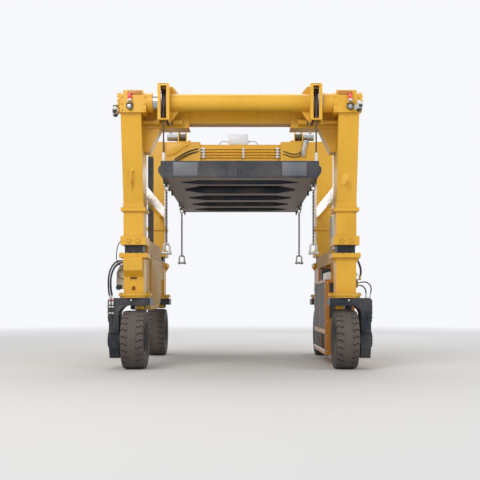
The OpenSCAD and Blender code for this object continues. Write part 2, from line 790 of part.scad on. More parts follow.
// How far the lifting lugs stand from the spreader's end, on each side
lug_from_end = [120, 570, 1120, 1770];
lug_x = spreader_w / 2 - 100;
lug_hole_z = spreader_z - 52;
lug_h = 90;
module lug()
    along_x(30, lug_x - 15)
        difference() {
            polygon([[-70, spreader_z], [70, spreader_z], [40, spreader_z - lug_h], [-40, spreader_z - lug_h]]);
            translate([0, lug_hole_z]) circle(d = lug_hole_d, $fn = round_fn);
        }

module sling_lugs()
    color([0.2, 0.22, 0.26])
        all_quarters() for (back = lug_from_end) translate([0, back - spreader_l / 2, 0]) lug();

// Chain slings: a bow and pin on the lug, the chain as one bar, a larger bow and pin below.
// A bow is drawn from its pin's centre as a front view with the arch at the bottom.
lug_hole_d = 54;
sling_pin_d = 50;
sling_l = 1150;
module bow_front_view(half, wire, reach)
    difference() {
        union() {
            translate([-half, -reach]) square([2 * half, reach + wire + 8]);
            translate([0, -reach]) circle(r = half, $fn = round_fn);
        }
        translate([wire - half, -reach]) square([2 * (half - wire), reach + wire + 9]);
        translate([0, -reach]) circle(r = half - wire, $fn = round_fn);
    }

module sling() {
    pin_z = lug_hole_z - (lug_hole_d - sling_pin_d) / 2 + seat_gap;
    low_z = pin_z - sling_l;
    translate([lug_x, 0, pin_z]) {
        along_y(26) bow_front_view(46, 22, 72);
        rod_x(-62, 0, 0, 124, sling_pin_d);
        translate([0, 0, -sling_l]) cylinder(d = 30, h = sling_l - 102, $fn = 24);
    }
    translate([lug_x, 0, low_z - 190]) {
        along_y(36) mirror([0, 1]) bow_front_view(78, 30, 120);
        rod_x(-100, 0, 0, 200, 52);
    }
}

// The slings hang from the second lugs in front and the third lugs at the rear
module slings()
    color([0.45, 0.43, 0.4])
        for (side = [-1, 1]) mirror([side < 0 ? 1 : 0, 0, 0]) {
            translate([0, lug_from_end[1] - spreader_l / 2, 0]) sling();
            translate([0, spreader_l / 2 - lug_from_end[2], 0]) sling();
        }

cross_tubes();
sheave_housings();
inner_beams();
width_cylinders();
journals();
winch_frames();
winch_motors();
rope_runs();
rope_falls();
pipe_bank();
junction_box();
sheave(-1, -1);  // sheave_left_front
sheave(-1, 1);  // sheave_left_rear
sheave(1, -1);  // sheave_right_front
sheave(1, 1);  // sheave_right_rear
drum(-1);  // drum_left
drum(1);  // drum_right
legs(-1);  // left_legs
legs(1);  // right_legs
rail(-1);  // left_rail
rail(1);  // right_rail
sleeves(-1);  // left_sleeves
sleeves(1);  // right_sleeves
heads(-1);  // left_heads
heads(1);  // right_heads
width_rods(-1);  // left_width_rods
width_rods(1);  // right_width_rods
lamps(-1);  // left_lamps
lamps(1);  // right_lamps
chain_guide(-1);  // left_chain_guide
chain_guide(1);  // right_chain_guide
inner_legs(-1);  // left_inner_legs
inner_legs(1);  // right_inner_legs
left_columns();
right_columns();
left_tank();
right_side_beam();
pack_case();
pack_engine();
pack_exhaust();
pack_door(door_y[0]);  // pack_door_front
pack_door(door_y[1]);  // pack_door_rear
quarter(-1, -1) fork();  // fork_left_front
quarter(-1, 1) fork();  // fork_left_rear
quarter(1, -1) fork();  // fork_right_front
quarter(1, 1) fork();  // fork_right_rear
quarter(-1, -1) tyre();  // tyre_left_front
quarter(-1, 1) tyre();  // tyre_left_rear
quarter(1, -1) tyre();  // tyre_right_front
quarter(1, 1) tyre();  // tyre_right_rear
quarter(-1, -1) rim();  // rim_left_front
quarter(-1, 1) rim();  // rim_left_rear
quarter(1, -1) rim();  // rim_right_front
quarter(1, 1) rim();  // rim_right_rear
spreader();
rope_sockets();
sling_lugs();
slings();
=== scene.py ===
# %% [markdown]
# # A straddle carrier, dressed piece by piece
#
# The machine is a tall yellow gantry on four slewing wheels. The solid pieces come
# finished from CAD, at their real places. This lesson adds the paint, the tyre tread,
# the bolts, hoses, lamps and panels, and films the machine in a plain pale studio.
# Lengths are in metres, +Z is up, and the front end is at -Y.

# %% Load the machine
import math

import bpy
from mathutils import Matrix, Vector


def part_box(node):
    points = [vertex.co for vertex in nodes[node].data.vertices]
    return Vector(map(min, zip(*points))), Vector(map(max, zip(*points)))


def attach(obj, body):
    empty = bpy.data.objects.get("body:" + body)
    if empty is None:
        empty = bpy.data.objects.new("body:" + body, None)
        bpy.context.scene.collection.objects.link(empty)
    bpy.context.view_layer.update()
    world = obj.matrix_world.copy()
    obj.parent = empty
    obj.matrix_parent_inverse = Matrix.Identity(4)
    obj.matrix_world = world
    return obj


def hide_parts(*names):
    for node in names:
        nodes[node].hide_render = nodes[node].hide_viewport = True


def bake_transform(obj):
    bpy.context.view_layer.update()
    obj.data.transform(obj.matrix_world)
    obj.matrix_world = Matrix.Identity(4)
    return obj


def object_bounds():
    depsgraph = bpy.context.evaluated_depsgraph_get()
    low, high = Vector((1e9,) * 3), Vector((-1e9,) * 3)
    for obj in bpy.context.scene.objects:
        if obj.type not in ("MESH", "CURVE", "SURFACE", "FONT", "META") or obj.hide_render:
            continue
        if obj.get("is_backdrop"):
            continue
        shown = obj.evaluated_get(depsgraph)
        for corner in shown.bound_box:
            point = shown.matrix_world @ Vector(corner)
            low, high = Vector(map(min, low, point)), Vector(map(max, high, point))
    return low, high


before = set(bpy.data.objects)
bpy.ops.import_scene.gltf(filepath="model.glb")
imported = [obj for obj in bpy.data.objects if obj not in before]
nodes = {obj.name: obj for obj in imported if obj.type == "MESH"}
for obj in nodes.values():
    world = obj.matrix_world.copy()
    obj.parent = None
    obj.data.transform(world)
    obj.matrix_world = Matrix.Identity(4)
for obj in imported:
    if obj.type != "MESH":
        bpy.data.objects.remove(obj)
cad_box = [list(corner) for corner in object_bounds()]
print("pieces from CAD:", len(nodes), "box:", cad_box)

# %% [markdown]
# ## Camera
#
# The picture was taken with a short telephoto from straight ahead, at about chest
# height, and later cropped. A crop that isn't centred is the same as a shifted lens,
# so the camera stays level and its shift lifts the view, and no upright converges.

# %% Camera
FOCAL_PX = 750.0
FRAME_PX = 480.0
camera_data = bpy.data.cameras.new("camera")
camera_data.sensor_width = 36.0
camera_data.lens = 36.0 * FOCAL_PX / FRAME_PX
camera_data.shift_x = -2.5 / FRAME_PX
camera_data.shift_y = 62.0 / FRAME_PX
camera_data.clip_end = 400
camera = bpy.data.objects.new("camera", camera_data)
camera.location = (0.05, -16.95, 1.33)
camera.rotation_euler = (math.radians(90), 0, 0)
bpy.context.scene.collection.objects.link(camera)
bpy.context.scene.camera = camera
print("lens", round(camera_data.lens, 1), "mm")

# %% [markdown]
# ## Finishes
#
# Paint on a working machine is never one flat colour. Three effects are shared, so
# each is a node group: dust that gathers in soft clouds, rain streaks that run down,
# and an edge softener that rounds sharp CAD edges in the shading and finds where paint
# would be rubbed. Every material then sets its own amounts.


# %% Node group helpers
def new_group(name, inputs, outputs):
    group = bpy.data.node_groups.new(name, "ShaderNodeTree")
    for socket, kind, value in inputs:
        made = group.interface.new_socket(socket, in_out="INPUT", socket_type=kind)
        made.default_value = value
    for socket, kind in outputs:
        group.interface.new_socket(socket, in_out="OUTPUT", socket_type=kind)
    return group, group.nodes.new("NodeGroupInput"), group.nodes.new("NodeGroupOutput")


def node_in(tree, kind, **settings):
    made = tree.nodes.new(kind)
    for key, value in settings.items():
        setattr(made, key, value)
    return made


def math_node(tree, operation, a, b=None, clamp=False):
    made = node_in(tree, "ShaderNodeMath", operation=operation, use_clamp=clamp)
    for index, value in enumerate((a, b)):
        if value is None:
            continue
        if isinstance(value, (int, float)):
            made.inputs[index].default_value = value
        else:
            tree.links.new(value, made.inputs[index])
    return made.outputs[0]


def remap(tree, value, low, high, to_low=0.0, to_high=1.0):
    made = node_in(tree, "ShaderNodeMapRange")
    made.inputs[1].default_value = low
    made.inputs[2].default_value = high
    made.inputs[3].default_value = to_low
    made.inputs[4].default_value = to_high
    tree.links.new(value, made.inputs[0])
    return made.outputs[0]


def noise(tree, coordinates, scale, detail=3.0, rough=0.55):
    made = node_in(tree, "ShaderNodeTexNoise")
    made.inputs["Detail"].default_value = detail
    made.inputs["Roughness"].default_value = rough
    if isinstance(scale, (int, float)):
        made.inputs["Scale"].default_value = scale
    else:
        tree.links.new(scale, made.inputs["Scale"])
    tree.links.new(coordinates, made.inputs["Vector"])
    return made.outputs[0]


# %% Dust group
dust_group, dust_in, dust_out = new_group(
    "Dust",
    [("Scale", "NodeSocketFloat", 1.5), ("Amount", "NodeSocketFloat", 0.3)],
    [("Mask", "NodeSocketFloat"), ("Clouds", "NodeSocketFloat")],
)
where = node_in(dust_group, "ShaderNodeTexCoord").outputs["Object"]
clouds = noise(dust_group, where, dust_in.outputs["Scale"], 5.0, 0.6)
facing = node_in(dust_group, "ShaderNodeNewGeometry").outputs["Normal"]
split = node_in(dust_group, "ShaderNodeSeparateXYZ")
dust_group.links.new(facing, split.inputs[0])
up = math_node(dust_group, "MULTIPLY", remap(dust_group, split.outputs[2], 0.2, 1.0), 0.55)
shade = math_node(dust_group, "ADD", remap(dust_group, clouds, 0.42, 0.72), up)
mask = math_node(dust_group, "MULTIPLY", shade, dust_in.outputs["Amount"], True)
dust_group.links.new(mask, dust_out.inputs["Mask"])
dust_group.links.new(clouds, dust_out.inputs["Clouds"])
print("group", dust_group.name)

# %% Streak group
streak_group, streak_in, streak_out = new_group(
    "Streaks",
    [("Amount", "NodeSocketFloat", 0.2)],
    [("Mask", "NodeSocketFloat")],
)
where = node_in(streak_group, "ShaderNodeTexCoord").outputs["Object"]
stretch = node_in(streak_group, "ShaderNodeMapping")
stretch.inputs["Scale"].default_value = (9.0, 9.0, 0.45)
streak_group.links.new(where, stretch.inputs["Vector"])
lines = noise(streak_group, stretch.outputs[0], 1.6, 4.0, 0.7)
patches = noise(streak_group, where, 0.9, 2.0)
both = math_node(streak_group, "MULTIPLY", remap(streak_group, lines, 0.52, 0.75), patches)
streak_group.links.new(
    math_node(streak_group, "MULTIPLY", both, streak_in.outputs["Amount"], True),
    streak_out.inputs["Mask"],
)
print("group", streak_group.name)

# %% Edge group
edge_group, edge_in, edge_out = new_group(
    "Soft edge",
    [("Radius", "NodeSocketFloat", 0.006)],
    [("Normal", "NodeSocketVector"), ("Edge", "NodeSocketFloat")],
)
bevel = node_in(edge_group, "ShaderNodeBevel", samples=6)
edge_group.links.new(edge_in.outputs["Radius"], bevel.inputs["Radius"])
flat = node_in(edge_group, "ShaderNodeNewGeometry").outputs["Normal"]
dot = node_in(edge_group, "ShaderNodeVectorMath", operation="DOT_PRODUCT")
edge_group.links.new(bevel.outputs[0], dot.inputs[0])
edge_group.links.new(flat, dot.inputs[1])
bend = remap(edge_group, dot.outputs["Value"], 0.995, 0.75)
where = node_in(edge_group, "ShaderNodeTexCoord").outputs["Object"]
chips = remap(edge_group, noise(edge_group, where, 14.0, 6.0, 0.75), 0.5, 0.62)
edge_group.links.new(bevel.outputs[0], edge_out.inputs["Normal"])
edge_group.links.new(math_node(edge_group, "MULTIPLY", bend, chips), edge_out.inputs["Edge"])
print("group", edge_group.name)

# %% [markdown]
# ## One paint maker
#
# Nearly every surface here is painted, so one function builds them all: the paint's
# colour, drifted slightly by the clouds, is covered by streaks, then dust, then bare
# metal on rubbed edges. A faint orange-peel bump breaks up the highlights, as sprayed
# paint does. The numbers that stay the same all over go straight on the shader.


# %% Paint maker
def mixed(tree, mask, base, over):
    made = node_in(tree, "ShaderNodeMix", data_type="RGBA")
    tree.links.new(mask, made.inputs[0])
    for index, value in ((6, base), (7, over)):
        if isinstance(value, tuple):
            made.inputs[index].default_value = (*value, 1.0)
        else:
            tree.links.new(value, made.inputs[index])
    return made.outputs[2]


def grouped(tree, group, **values):
    made = node_in(tree, "ShaderNodeGroup", node_tree=group)
    for key, value in values.items():
        made.inputs[key].default_value = value
    return made


def paint(
    name, colour, rough=0.42, metal=0.0, coat=0.0, dust=0.25, dust_colour=(0.30, 0.25, 0.19), streaks=0.25,
    wear=(0.16, 0.15, 0.14), edge=0.006, peel=0.03, peel_scale=55.0, drift=0.1, specular=0.5,
):
    material = bpy.data.materials.new(name)
    material.use_nodes = True
    tree = material.node_tree
    shader = tree.nodes["Principled BSDF"]
    soft = grouped(tree, edge_group, Radius=edge)
    dusty = grouped(tree, dust_group, Scale=1.3, Amount=dust)
    streaky = grouped(tree, streak_group, Amount=streaks)
    darker = tuple(c * (1 - drift * 1.6) for c in colour)
    lighter = tuple(min(1.0, c * (1 + drift)) for c in colour)
    body = mixed(tree, remap(tree, dusty.outputs["Clouds"], 0.3, 0.7), darker, lighter)
    body = mixed(tree, streaky.outputs["Mask"], body, tuple(c * 0.55 for c in dust_colour))
    body = mixed(tree, dusty.outputs["Mask"], body, dust_colour)
    body = mixed(tree, soft.outputs["Edge"], body, wear)
    tree.links.new(body, shader.inputs["Base Color"])
    roughness = remap(tree, dusty.outputs["Clouds"], 0.3, 0.75, rough - 0.08, rough + 0.14)
    tree.links.new(roughness, shader.inputs["Roughness"])
    where = node_in(tree, "ShaderNodeTexCoord").outputs["Object"]
    bump = node_in(tree, "ShaderNodeBump")
    bump.inputs["Strength"].default_value = peel
    bump.inputs["Distance"].default_value = 0.01
    tree.links.new(noise(tree, where, peel_scale, 2.0), bump.inputs["Height"])
    tree.links.new(soft.outputs["Normal"], bump.inputs["Normal"])
    tree.links.new(bump.outputs[0], shader.inputs["Normal"])
    shader.inputs["Metallic"].default_value = metal
    shader.inputs["Coat Weight"].default_value = coat
    shader.inputs["Coat Roughness"].default_value = 0.12
    shader.inputs["Specular IOR Level"].default_value = specular
    return material


# %% The machine's finishes
yellow_dust = (0.36, 0.22, 0.06)
PALE_WEAR = (0.2, 0.2, 0.2)
yellow_paint = paint(
    "yellow_paint", (0.76, 0.405, 0.018), coat=0.12, dust=0.2, dust_colour=yellow_dust
)
glossy_yellow = paint(
    "glossy_yellow", (0.80, 0.45, 0.03), rough=0.25, coat=0.5, dust=0.1, dust_colour=yellow_dust,
    streaks=0.1,
)
fork_paint = paint("fork_paint", (0.026, 0.032, 0.047), specular=0.25, dust=0.3, wear=PALE_WEAR)
inner_leg_paint = paint("inner_leg_paint", (0.022, 0.024, 0.031), specular=0.25, dust=0.1)
panel_tan = paint("panel_tan", (0.56, 0.32, 0.065), rough=0.55, specular=0.2, dust_colour=yellow_dust)
pack_orange = paint(
    "pack_orange", (0.48, 0.175, 0.018), rough=0.4, coat=0.15, dust=0.2, dust_colour=(0.28, 0.15, 0.06)
)
door_taupe = paint("door_taupe", (0.115, 0.085, 0.078), rough=0.55, dust=0.2, specular=0.25)
engine_grey = paint("engine_grey", (0.06, 0.062, 0.066), rough=0.55, dust=0.5)
wrap_white = paint("wrap_white", (0.62, 0.60, 0.55), rough=0.85, dust=0.3, peel=0.5, peel_scale=30)
chrome = paint(
    "chrome", (0.46, 0.46, 0.47), rough=0.18, metal=1.0, dust=0.06, streaks=0.05, peel=0.01, drift=0.03
)
cast_silver = paint("cast_silver", (0.38, 0.39, 0.40), rough=0.45, metal=0.9, dust=0.2, peel=0.15)
greased_iron = paint("greased_iron", (0.10, 0.08, 0.06), rough=0.4, metal=0.6, dust=0.3)
rim_grey = paint("rim_grey", (0.07, 0.075, 0.085), rough=0.45, dust=0.4)
box_grey = paint("box_grey", (0.80, 0.81, 0.81), rough=0.35, dust=0.12)
spreader_blue = paint("spreader_blue", (0.032, 0.038, 0.051), rough=0.5, specular=0.25, wear=PALE_WEAR)
spreader_taupe = paint("spreader_taupe", (0.128, 0.096, 0.080), rough=0.55, specular=0.3, dust=0.3)
matt_black = paint("matt_black", (0.012, 0.012, 0.013), rough=0.55, streaks=0.05)
hose_rubber = paint(
    "hose_rubber", (0.011, 0.010, 0.011), rough=0.55, dust=0.15, dust_colour=(0.06, 0.05, 0.045),
    streaks=0.0, edge=0.001,
)
signal_white = paint("signal_white", (0.72, 0.72, 0.70), rough=0.35, dust=0.12, edge=0.002)
beacon_red = paint("beacon_red", (0.75, 0.015, 0.02), rough=0.18, coat=1.0, dust=0.05, edge=0.002)
zinc = paint("zinc", (0.55, 0.55, 0.52), rough=0.35, metal=0.9, dust=0.2, edge=0.002)
brass = paint("brass", (0.58, 0.40, 0.12), rough=0.3, metal=0.9, dust=0.1, edge=0.002)
print("finishes:", len(bpy.data.materials))

# %% [markdown]
# ## Tyre rubber and wire rope
#
# Tyre rubber is brown-grey from concrete dust where it rolls and blacker in the grooves
# and on the walls. The height above the wheel's axle isn't the same all over the tread,
# so the dust is mixed by the clouds alone, and the grooves are real gaps in the mesh.
# A wire rope is strands laid in a screw, which shows as slanting ridges.

# %% Rubber
tyre_rubber = paint(
    "tyre_rubber", (0.040, 0.034, 0.031), rough=0.75, dust=0.55, dust_colour=(0.115, 0.092, 0.078),
    streaks=0.0, wear=(0.10, 0.085, 0.075), peel=0.25, peel_scale=40,
)
tread_rubber = paint(
    "tread_rubber", (0.085, 0.070, 0.062), rough=0.8, dust=0.5, dust_colour=(0.16, 0.13, 0.112),
    streaks=0.0, wear=(0.06, 0.05, 0.045), peel=0.35, peel_scale=60,
)


# %% Wire rope
def rope_material():
    made = paint("rope_steel", (0.12, 0.078, 0.048), rough=0.55, metal=0.1, dust=0.2, edge=0.0005)
    tree = made.node_tree
    where = node_in(tree, "ShaderNodeTexCoord").outputs["Object"]
    lay = node_in(tree, "ShaderNodeTexWave", bands_direction="DIAGONAL")
    lay.inputs["Scale"].default_value = 26.0
    tree.links.new(where, lay.inputs["Vector"])
    ridges = node_in(tree, "ShaderNodeBump")
    ridges.inputs["Strength"].default_value = 0.9
    ridges.inputs["Distance"].default_value = 0.004
    tree.links.new(lay.outputs["Fac"], ridges.inputs["Height"])
    tree.links.new(ridges.outputs[0], tree.nodes["Principled BSDF"].inputs["Normal"])
    return made


rope_steel = rope_material()
print("rope and rubber ready")

# %% [markdown]
# ## Painting the CAD pieces
#
# A CAD piece keeps its shape and only gets its finish. The table names a finish for
# each group of pieces by how the piece's name starts or ends.

# %% Paint the nodes
FINISH_BY_NAME = [
    ("tyre_", tyre_rubber), ("rim_", rim_grey), ("fork_", fork_paint), ("_inner_legs", inner_leg_paint),
    ("left_tank", panel_tan), ("right_side_beam", panel_tan), ("_rail", glossy_yellow),
    ("pack_case", pack_orange), ("pack_door", door_taupe), ("pack_engine", engine_grey),
    ("pack_exhaust", wrap_white), ("journals", chrome), ("winch_motors", cast_silver),
    ("sheave_left", greased_iron), ("sheave_right", greased_iron), ("drum_", greased_iron),
    ("rope_runs", rope_steel), ("rope_falls", rope_steel), ("rope_sockets", signal_white),
    ("spreader", spreader_blue), ("sling_lugs", spreader_blue), ("chain_guide", matt_black),
    ("junction_box", box_grey), ("_lamps", signal_white),
]


def finish_for(node_name):
    for part, material in FINISH_BY_NAME:
        if part in node_name:
            return material
    return yellow_paint


for node_name, node_object in nodes.items():
    node_object.data.materials.clear()
    node_object.data.materials.append(finish_for(node_name))
print("painted", len(nodes), "CAD pieces")

# %% [markdown]
# ## Modelling helpers
#
# Every new piece starts as a primitive at its size and place. It is then shaped in edit
# mode, its edges are rounded, and its place is applied to the mesh so that its own
# origin stays at the world's. What repeats is modelled once, at the front right corner
# or at the origin, and copied with a matrix.


# %% Placing
def only(piece):
    bpy.ops.object.select_all(action="DESELECT")
    piece.select_set(True)
    bpy.context.view_layer.objects.active = piece


def settle(name):
    """Names the new piece and applies its place, so that its origin is the world's."""
    piece = bpy.context.object
    piece.name = name
    only(piece)
    bpy.ops.object.transform_apply(location=True, rotation=True, scale=True)
    return piece


def start_box(low, high, name="part"):
    bpy.ops.mesh.primitive_cube_add(size=1, location=[(a + b) / 2 for a, b in zip(low, high)])
    bpy.context.object.scale = [b - a for a, b in zip(low, high)]
    return settle(name)


AXIS_TURN = {"x": (0, math.pi / 2, 0), "y": (math.pi / 2, 0, 0), "z": (0, 0, 0)}


def start_round(centre, radius, length, axis, sides, name="part"):
    bpy.ops.mesh.primitive_cylinder_add(
        vertices=sides, radius=radius, depth=length, location=centre, rotation=AXIS_TURN[axis]
    )
    return settle(name)


# %% Shaping
# The ways that a face can look. On the right side, "out" is away from the lane.
WAYS = {
    "front": (0, -1, 0), "back": (0, 1, 0), "up": (0, 0, 1), "down": (0, 0, -1),
    "out": (1, 0, 0), "in": (-1, 0, 0),
}


def edit_faces(piece, chosen):
    """Enters edit mode with only the chosen faces selected."""
    only(piece)
    bpy.ops.object.mode_set(mode="EDIT")
    bpy.ops.mesh.select_mode(type="FACE")
    bpy.ops.mesh.select_all(action="DESELECT")
    bpy.ops.object.mode_set(mode="OBJECT")
    for face in piece.data.polygons:
        face.select = chosen(face)
    bpy.ops.object.mode_set(mode="EDIT")


def edit_end(turn_outward=False):
    if turn_outward:
        bpy.ops.mesh.select_all(action="SELECT")
        bpy.ops.mesh.normals_make_consistent(inside=False)
    bpy.ops.object.mode_set(mode="OBJECT")


def inset_push(piece, way, inset, push):
    """Insets the faces that look one way and pushes them out or in."""
    direction = Vector(WAYS[way])
    edit_faces(piece, lambda face: face.normal.dot(direction) > 0.9)
    bpy.ops.mesh.inset(thickness=inset, use_boundary=True)
    step = [push * value for value in direction]
    bpy.ops.mesh.extrude_region_move(TRANSFORM_OT_translate={"value": step})
    edit_end()
    return piece


def smooth_under(degrees):
    bpy.ops.object.shade_smooth_by_angle(angle=math.radians(degrees))


def round_edges(piece, width, segments=2, angle=35):
    only(piece)
    made = piece.modifiers.new("round", "BEVEL")
    made.width = width
    made.segments = segments
    made.limit_method = "ANGLE"
    made.angle_limit = math.radians(angle)
    bpy.ops.object.modifier_apply(modifier=made.name)
    smooth_under(angle)
    return piece


def shaped(piece, pushes, edge, segments):
    for way, inset, push in pushes:
        inset_push(piece, way, inset, push)
    return round_edges(piece, edge, segments) if edge else piece


def box(low, high, *pushes, edge=0.0, segments=2, name="part"):
    """A box; each push is (way, inset, distance), and edge is how far its edges are rounded."""
    return shaped(start_box(low, high, name), pushes, edge, segments)


def rod(centre, radius, length, axis, sides, *pushes, edge=0.0, segments=2, name="part"):
    return shaped(start_round(centre, radius, length, axis, sides, name), pushes, edge, segments)


# %% Plates from an outline
def outline_plate(outline, place, step, *pushes, edge=0.0, name="part"):
    """A plate whose outline is given as points, laid by place() and thickened by step."""
    bpy.ops.mesh.primitive_circle_add(vertices=len(outline), radius=1, fill_type="NGON")
    piece = bpy.context.object
    piece.name = name
    for vertex, point in zip(piece.data.vertices, outline):
        vertex.co = place(*point)
    edit_faces(piece, lambda face: True)
    bpy.ops.mesh.extrude_region_move(TRANSFORM_OT_translate={"value": step})
    edit_end(turn_outward=True)
    return shaped(piece, pushes, edge, 2)


# %% Tubes along a line
def tube(name, line, diameter, resolution=2):
    """A capped round tube through the points, made by a curve and turned into a mesh."""
    data = bpy.data.curves.new(name, "CURVE")
    data.dimensions = "3D"
    spline = data.splines.new("POLY")
    spline.points.add(len(line) - 1)
    for point, place in zip(spline.points, line):
        point.co = (*place, 1)
    data.bevel_depth = diameter / 2
    data.bevel_resolution = resolution
    data.use_fill_caps = True
    made = bpy.data.objects.new(name, data)
    bpy.context.scene.collection.objects.link(made)
    only(made)
    bpy.ops.object.convert(target="MESH")
    smooth_under(50)
    return bpy.context.object


# %% Copying and joining
def at(x=0.0, y=0.0, z=0.0):
    return Matrix.Translation((x, y, z))


def copy_of(piece, matrix, name="copy"):
    made = piece.copy()
    made.data = piece.data.copy()
    made.name = name
    made.data.transform(matrix)
    if matrix.determinant() < 0:
        made.data.flip_normals()
    bpy.context.scene.collection.objects.link(made)
    return made


def join(parts, name):
    bpy.ops.object.select_all(action="DESELECT")
    for part in parts:
        part.select_set(True)
    bpy.context.view_layer.objects.active = parts[0]
    if len(parts) > 1:
        bpy.ops.object.join()
    parts[0].name = name
    return parts[0]


def copies(piece, matrices, name):
    """Replaces the piece by one joined mesh of its copies."""
    made = [copy_of(piece, matrix, name) for matrix in matrices]
    bpy.data.objects.remove(piece)
    return join(made, name)


# %% Finishing and riding
def wear_finish(piece, material):
    piece.data.materials.clear()
    piece.data.materials.append(material)
    return piece


def ride(piece, body):
    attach(piece, body)
    return piece


def dress(piece, material, body):
    return ride(wear_finish(piece, material), body)


# Corner matrices carry a piece from the front right corner, X > 0 and Y < 0.
SIDES = ("left", "right")
ENDS = ("front", "rear")
CORNERS = {
    (side, end): Matrix.Diagonal((-1 if side == "left" else 1, -1 if end == "rear" else 1, 1, 1))
    for end in ENDS for side in SIDES
}
ALL_CORNERS = [CORNERS[side, end] for side in SIDES for end in ENDS]


def at_both_ends(piece, name, body, material, sides=SIDES):
    """Copies a front right piece to the front and rear of each side, one mesh a side."""
    for side in sides:
        made = join([copy_of(piece, CORNERS[side, end]) for end in ENDS], side + "_" + name)
        dress(made, material, side + "_" + body)
    bpy.data.objects.remove(piece)


def at_every_corner(piece, name, body, material):
    """Copies a front right piece to all four corners, each riding on its own body."""
    for (side, end), matrix in CORNERS.items():
        made = copy_of(piece, matrix, f"{name}_{side}_{end}")
        dress(made, material, f"{body}_{side}_{end}")
    bpy.data.objects.remove(piece)


print("helpers ready")

# %% [markdown]
# ## Tyres
#
# The tyres have a smooth band round the middle and blocks on both shoulders, parted by
# zig-zag grooves. A plain CAD tyre can't show that, so each is replaced. The carcass is
# one profile spun round the axle. One shoulder block is shaped from a small grid, bent
# to the wheel and copied all the way round, and mirrored half a step on for the other
# shoulder. Grooves that are real gaps keep their shadow from every side.

# %% Carcass
LEG_X, LEG_Y = 2.095, -1.95
WHEEL_Z = TYRE_R = 0.58
CARCASS = [
    (0.2855, 0.168), (0.315, 0.195), (0.372, 0.216), (0.432, 0.2245), (0.495, 0.2205), (0.532, 0.211),
    (0.5495, 0.196), (0.556, 0.16), (0.558, 0.05),
]


def spun(name, profile, steps):
    """Spins a closed profile of (radius, place along the axle) round the axle."""
    loop = profile + [(r, -x) for r, x in reversed(profile)]
    bpy.ops.mesh.primitive_circle_add(vertices=len(loop), radius=1)
    piece = bpy.context.object
    for vertex, (radius, x) in zip(piece.data.vertices, loop):
        vertex.co = Vector((x, 0, radius))
    settle(name)
    bpy.ops.object.mode_set(mode="EDIT")
    bpy.ops.mesh.select_all(action="SELECT")
    bpy.ops.mesh.spin(steps=steps, angle=2 * math.pi, center=(0, 0, 0), axis=(1, 0, 0))
    bpy.ops.mesh.select_all(action="SELECT")
    bpy.ops.mesh.remove_doubles(threshold=0.0002)
    edit_end(turn_outward=True)
    smooth_under(32)
    return piece


carcass = wear_finish(spun("carcass", CARCASS, 72), tyre_rubber)
print("carcass faces", len(carcass.data.polygons))

# %% Tread
BLOCKS = 26
PITCH = 2 * math.pi * TYRE_R / BLOCKS
GROOVE = 0.013
# Each column of a block: place across the tyre, radius there, and the groove's swing
COLUMNS = [(0.086, 0.580, 0.010), (0.118, 0.5797, -0.024), (0.160, 0.5775, 0.022), (0.2185, 0.566, 0.0)]


def shoulder_block():
    bpy.ops.mesh.primitive_grid_add(x_subdivisions=3, y_subdivisions=2, size=1)
    piece = bpy.context.object
    for vertex in piece.data.vertices:
        x, radius, swing = COLUMNS[round((vertex.co.x + 0.5) * 3)]
        angle = (GROOVE + (vertex.co.y + 0.5) * (PITCH - 2 * GROOVE) + swing) / TYRE_R
        vertex.co = Vector((x, radius * math.sin(angle), radius * math.cos(angle)))
    edit_faces(piece, lambda face: True)
    bpy.ops.mesh.extrude_region_move()
    bpy.ops.transform.resize(value=(0.985, 0.945, 0.945), center_override=(0, 0, 0))
    edit_end(turn_outward=True)
    return piece


turns = [Matrix.Rotation(i * 2 * math.pi / BLOCKS, 4, "X") for i in range(BLOCKS)]
other_shoulder = Matrix.Rotation(math.pi / BLOCKS, 4, "X") @ CORNERS["left", "front"]
blocks = copies(shoulder_block(), turns + [turn @ other_shoulder for turn in turns], "blocks")
band = spun("band", [(0.552, 0.084), (0.580, 0.084)], 78)
tread = wear_finish(join([blocks, band], "tread"), tread_rubber)
smooth_under(30)
print("tread faces", len(tread.data.polygons))

# %% Four tyres
tyre = join([carcass, tread], "tyre")
for (side, end), matrix in CORNERS.items():
    turned = copy_of(tyre, matrix @ at(LEG_X, LEG_Y, WHEEL_Z), f"tread_tyre_{side}_{end}")
    ride(turned, f"wheel_{side}_{end}")
    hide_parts(f"tyre_{side}_{end}")
bpy.data.objects.remove(tyre)
print("tyres done")

# %% [markdown]
# ## Bolts
#
# Flanges without bolts look like blocks of soap. One hexagon head with its washer is
# modelled at the origin, looking up, and then laid by the dozen. It has few faces
# because there are hundreds of them.


# %% One bolt
def bolt_model(size):
    washer = start_round((0, 0, 0.0015), size * 0.72, 0.003, "z", 16)
    inset_push(washer, "up", size * 0.16, 0.0)
    head = start_round((0, 0, 0.003 + size * 0.32), size * 0.56, size * 0.64, "z", 6)
    return join([washer, round_edges(head, size * 0.06, 1, 50)], "bolt")


FACING = {
    "up": Matrix.Identity(4),
    "down": Matrix.Rotation(math.pi, 4, "X"),
    "front": Matrix.Rotation(math.pi / 2, 4, "X"),
    "out": Matrix.Rotation(math.pi / 2, 4, "Y"),
    "in": Matrix.Rotation(-math.pi / 2, 4, "Y"),
}


def bolts(places, size, name="bolts"):
    """places is a list of (way, (x, y, z))."""
    return copies(bolt_model(size), [at(*place) @ FACING[way] for way, place in places], name)


def ring(way, centre, radius, count, start=0.0):
    """Places round a circle on a face that looks the given way."""
    x, y, z = centre
    found = []
    for i in range(count):
        angle = math.radians(start) + 2 * math.pi * i / count
        across, along = radius * math.cos(angle), radius * math.sin(angle)
        if way in ("up", "down"):
            found.append((way, (x + across, y + along, z)))
        elif way == "front":
            found.append((way, (x + across, y, z + along)))
        else:
            found.append((way, (x, y + across, z + along)))
    return found


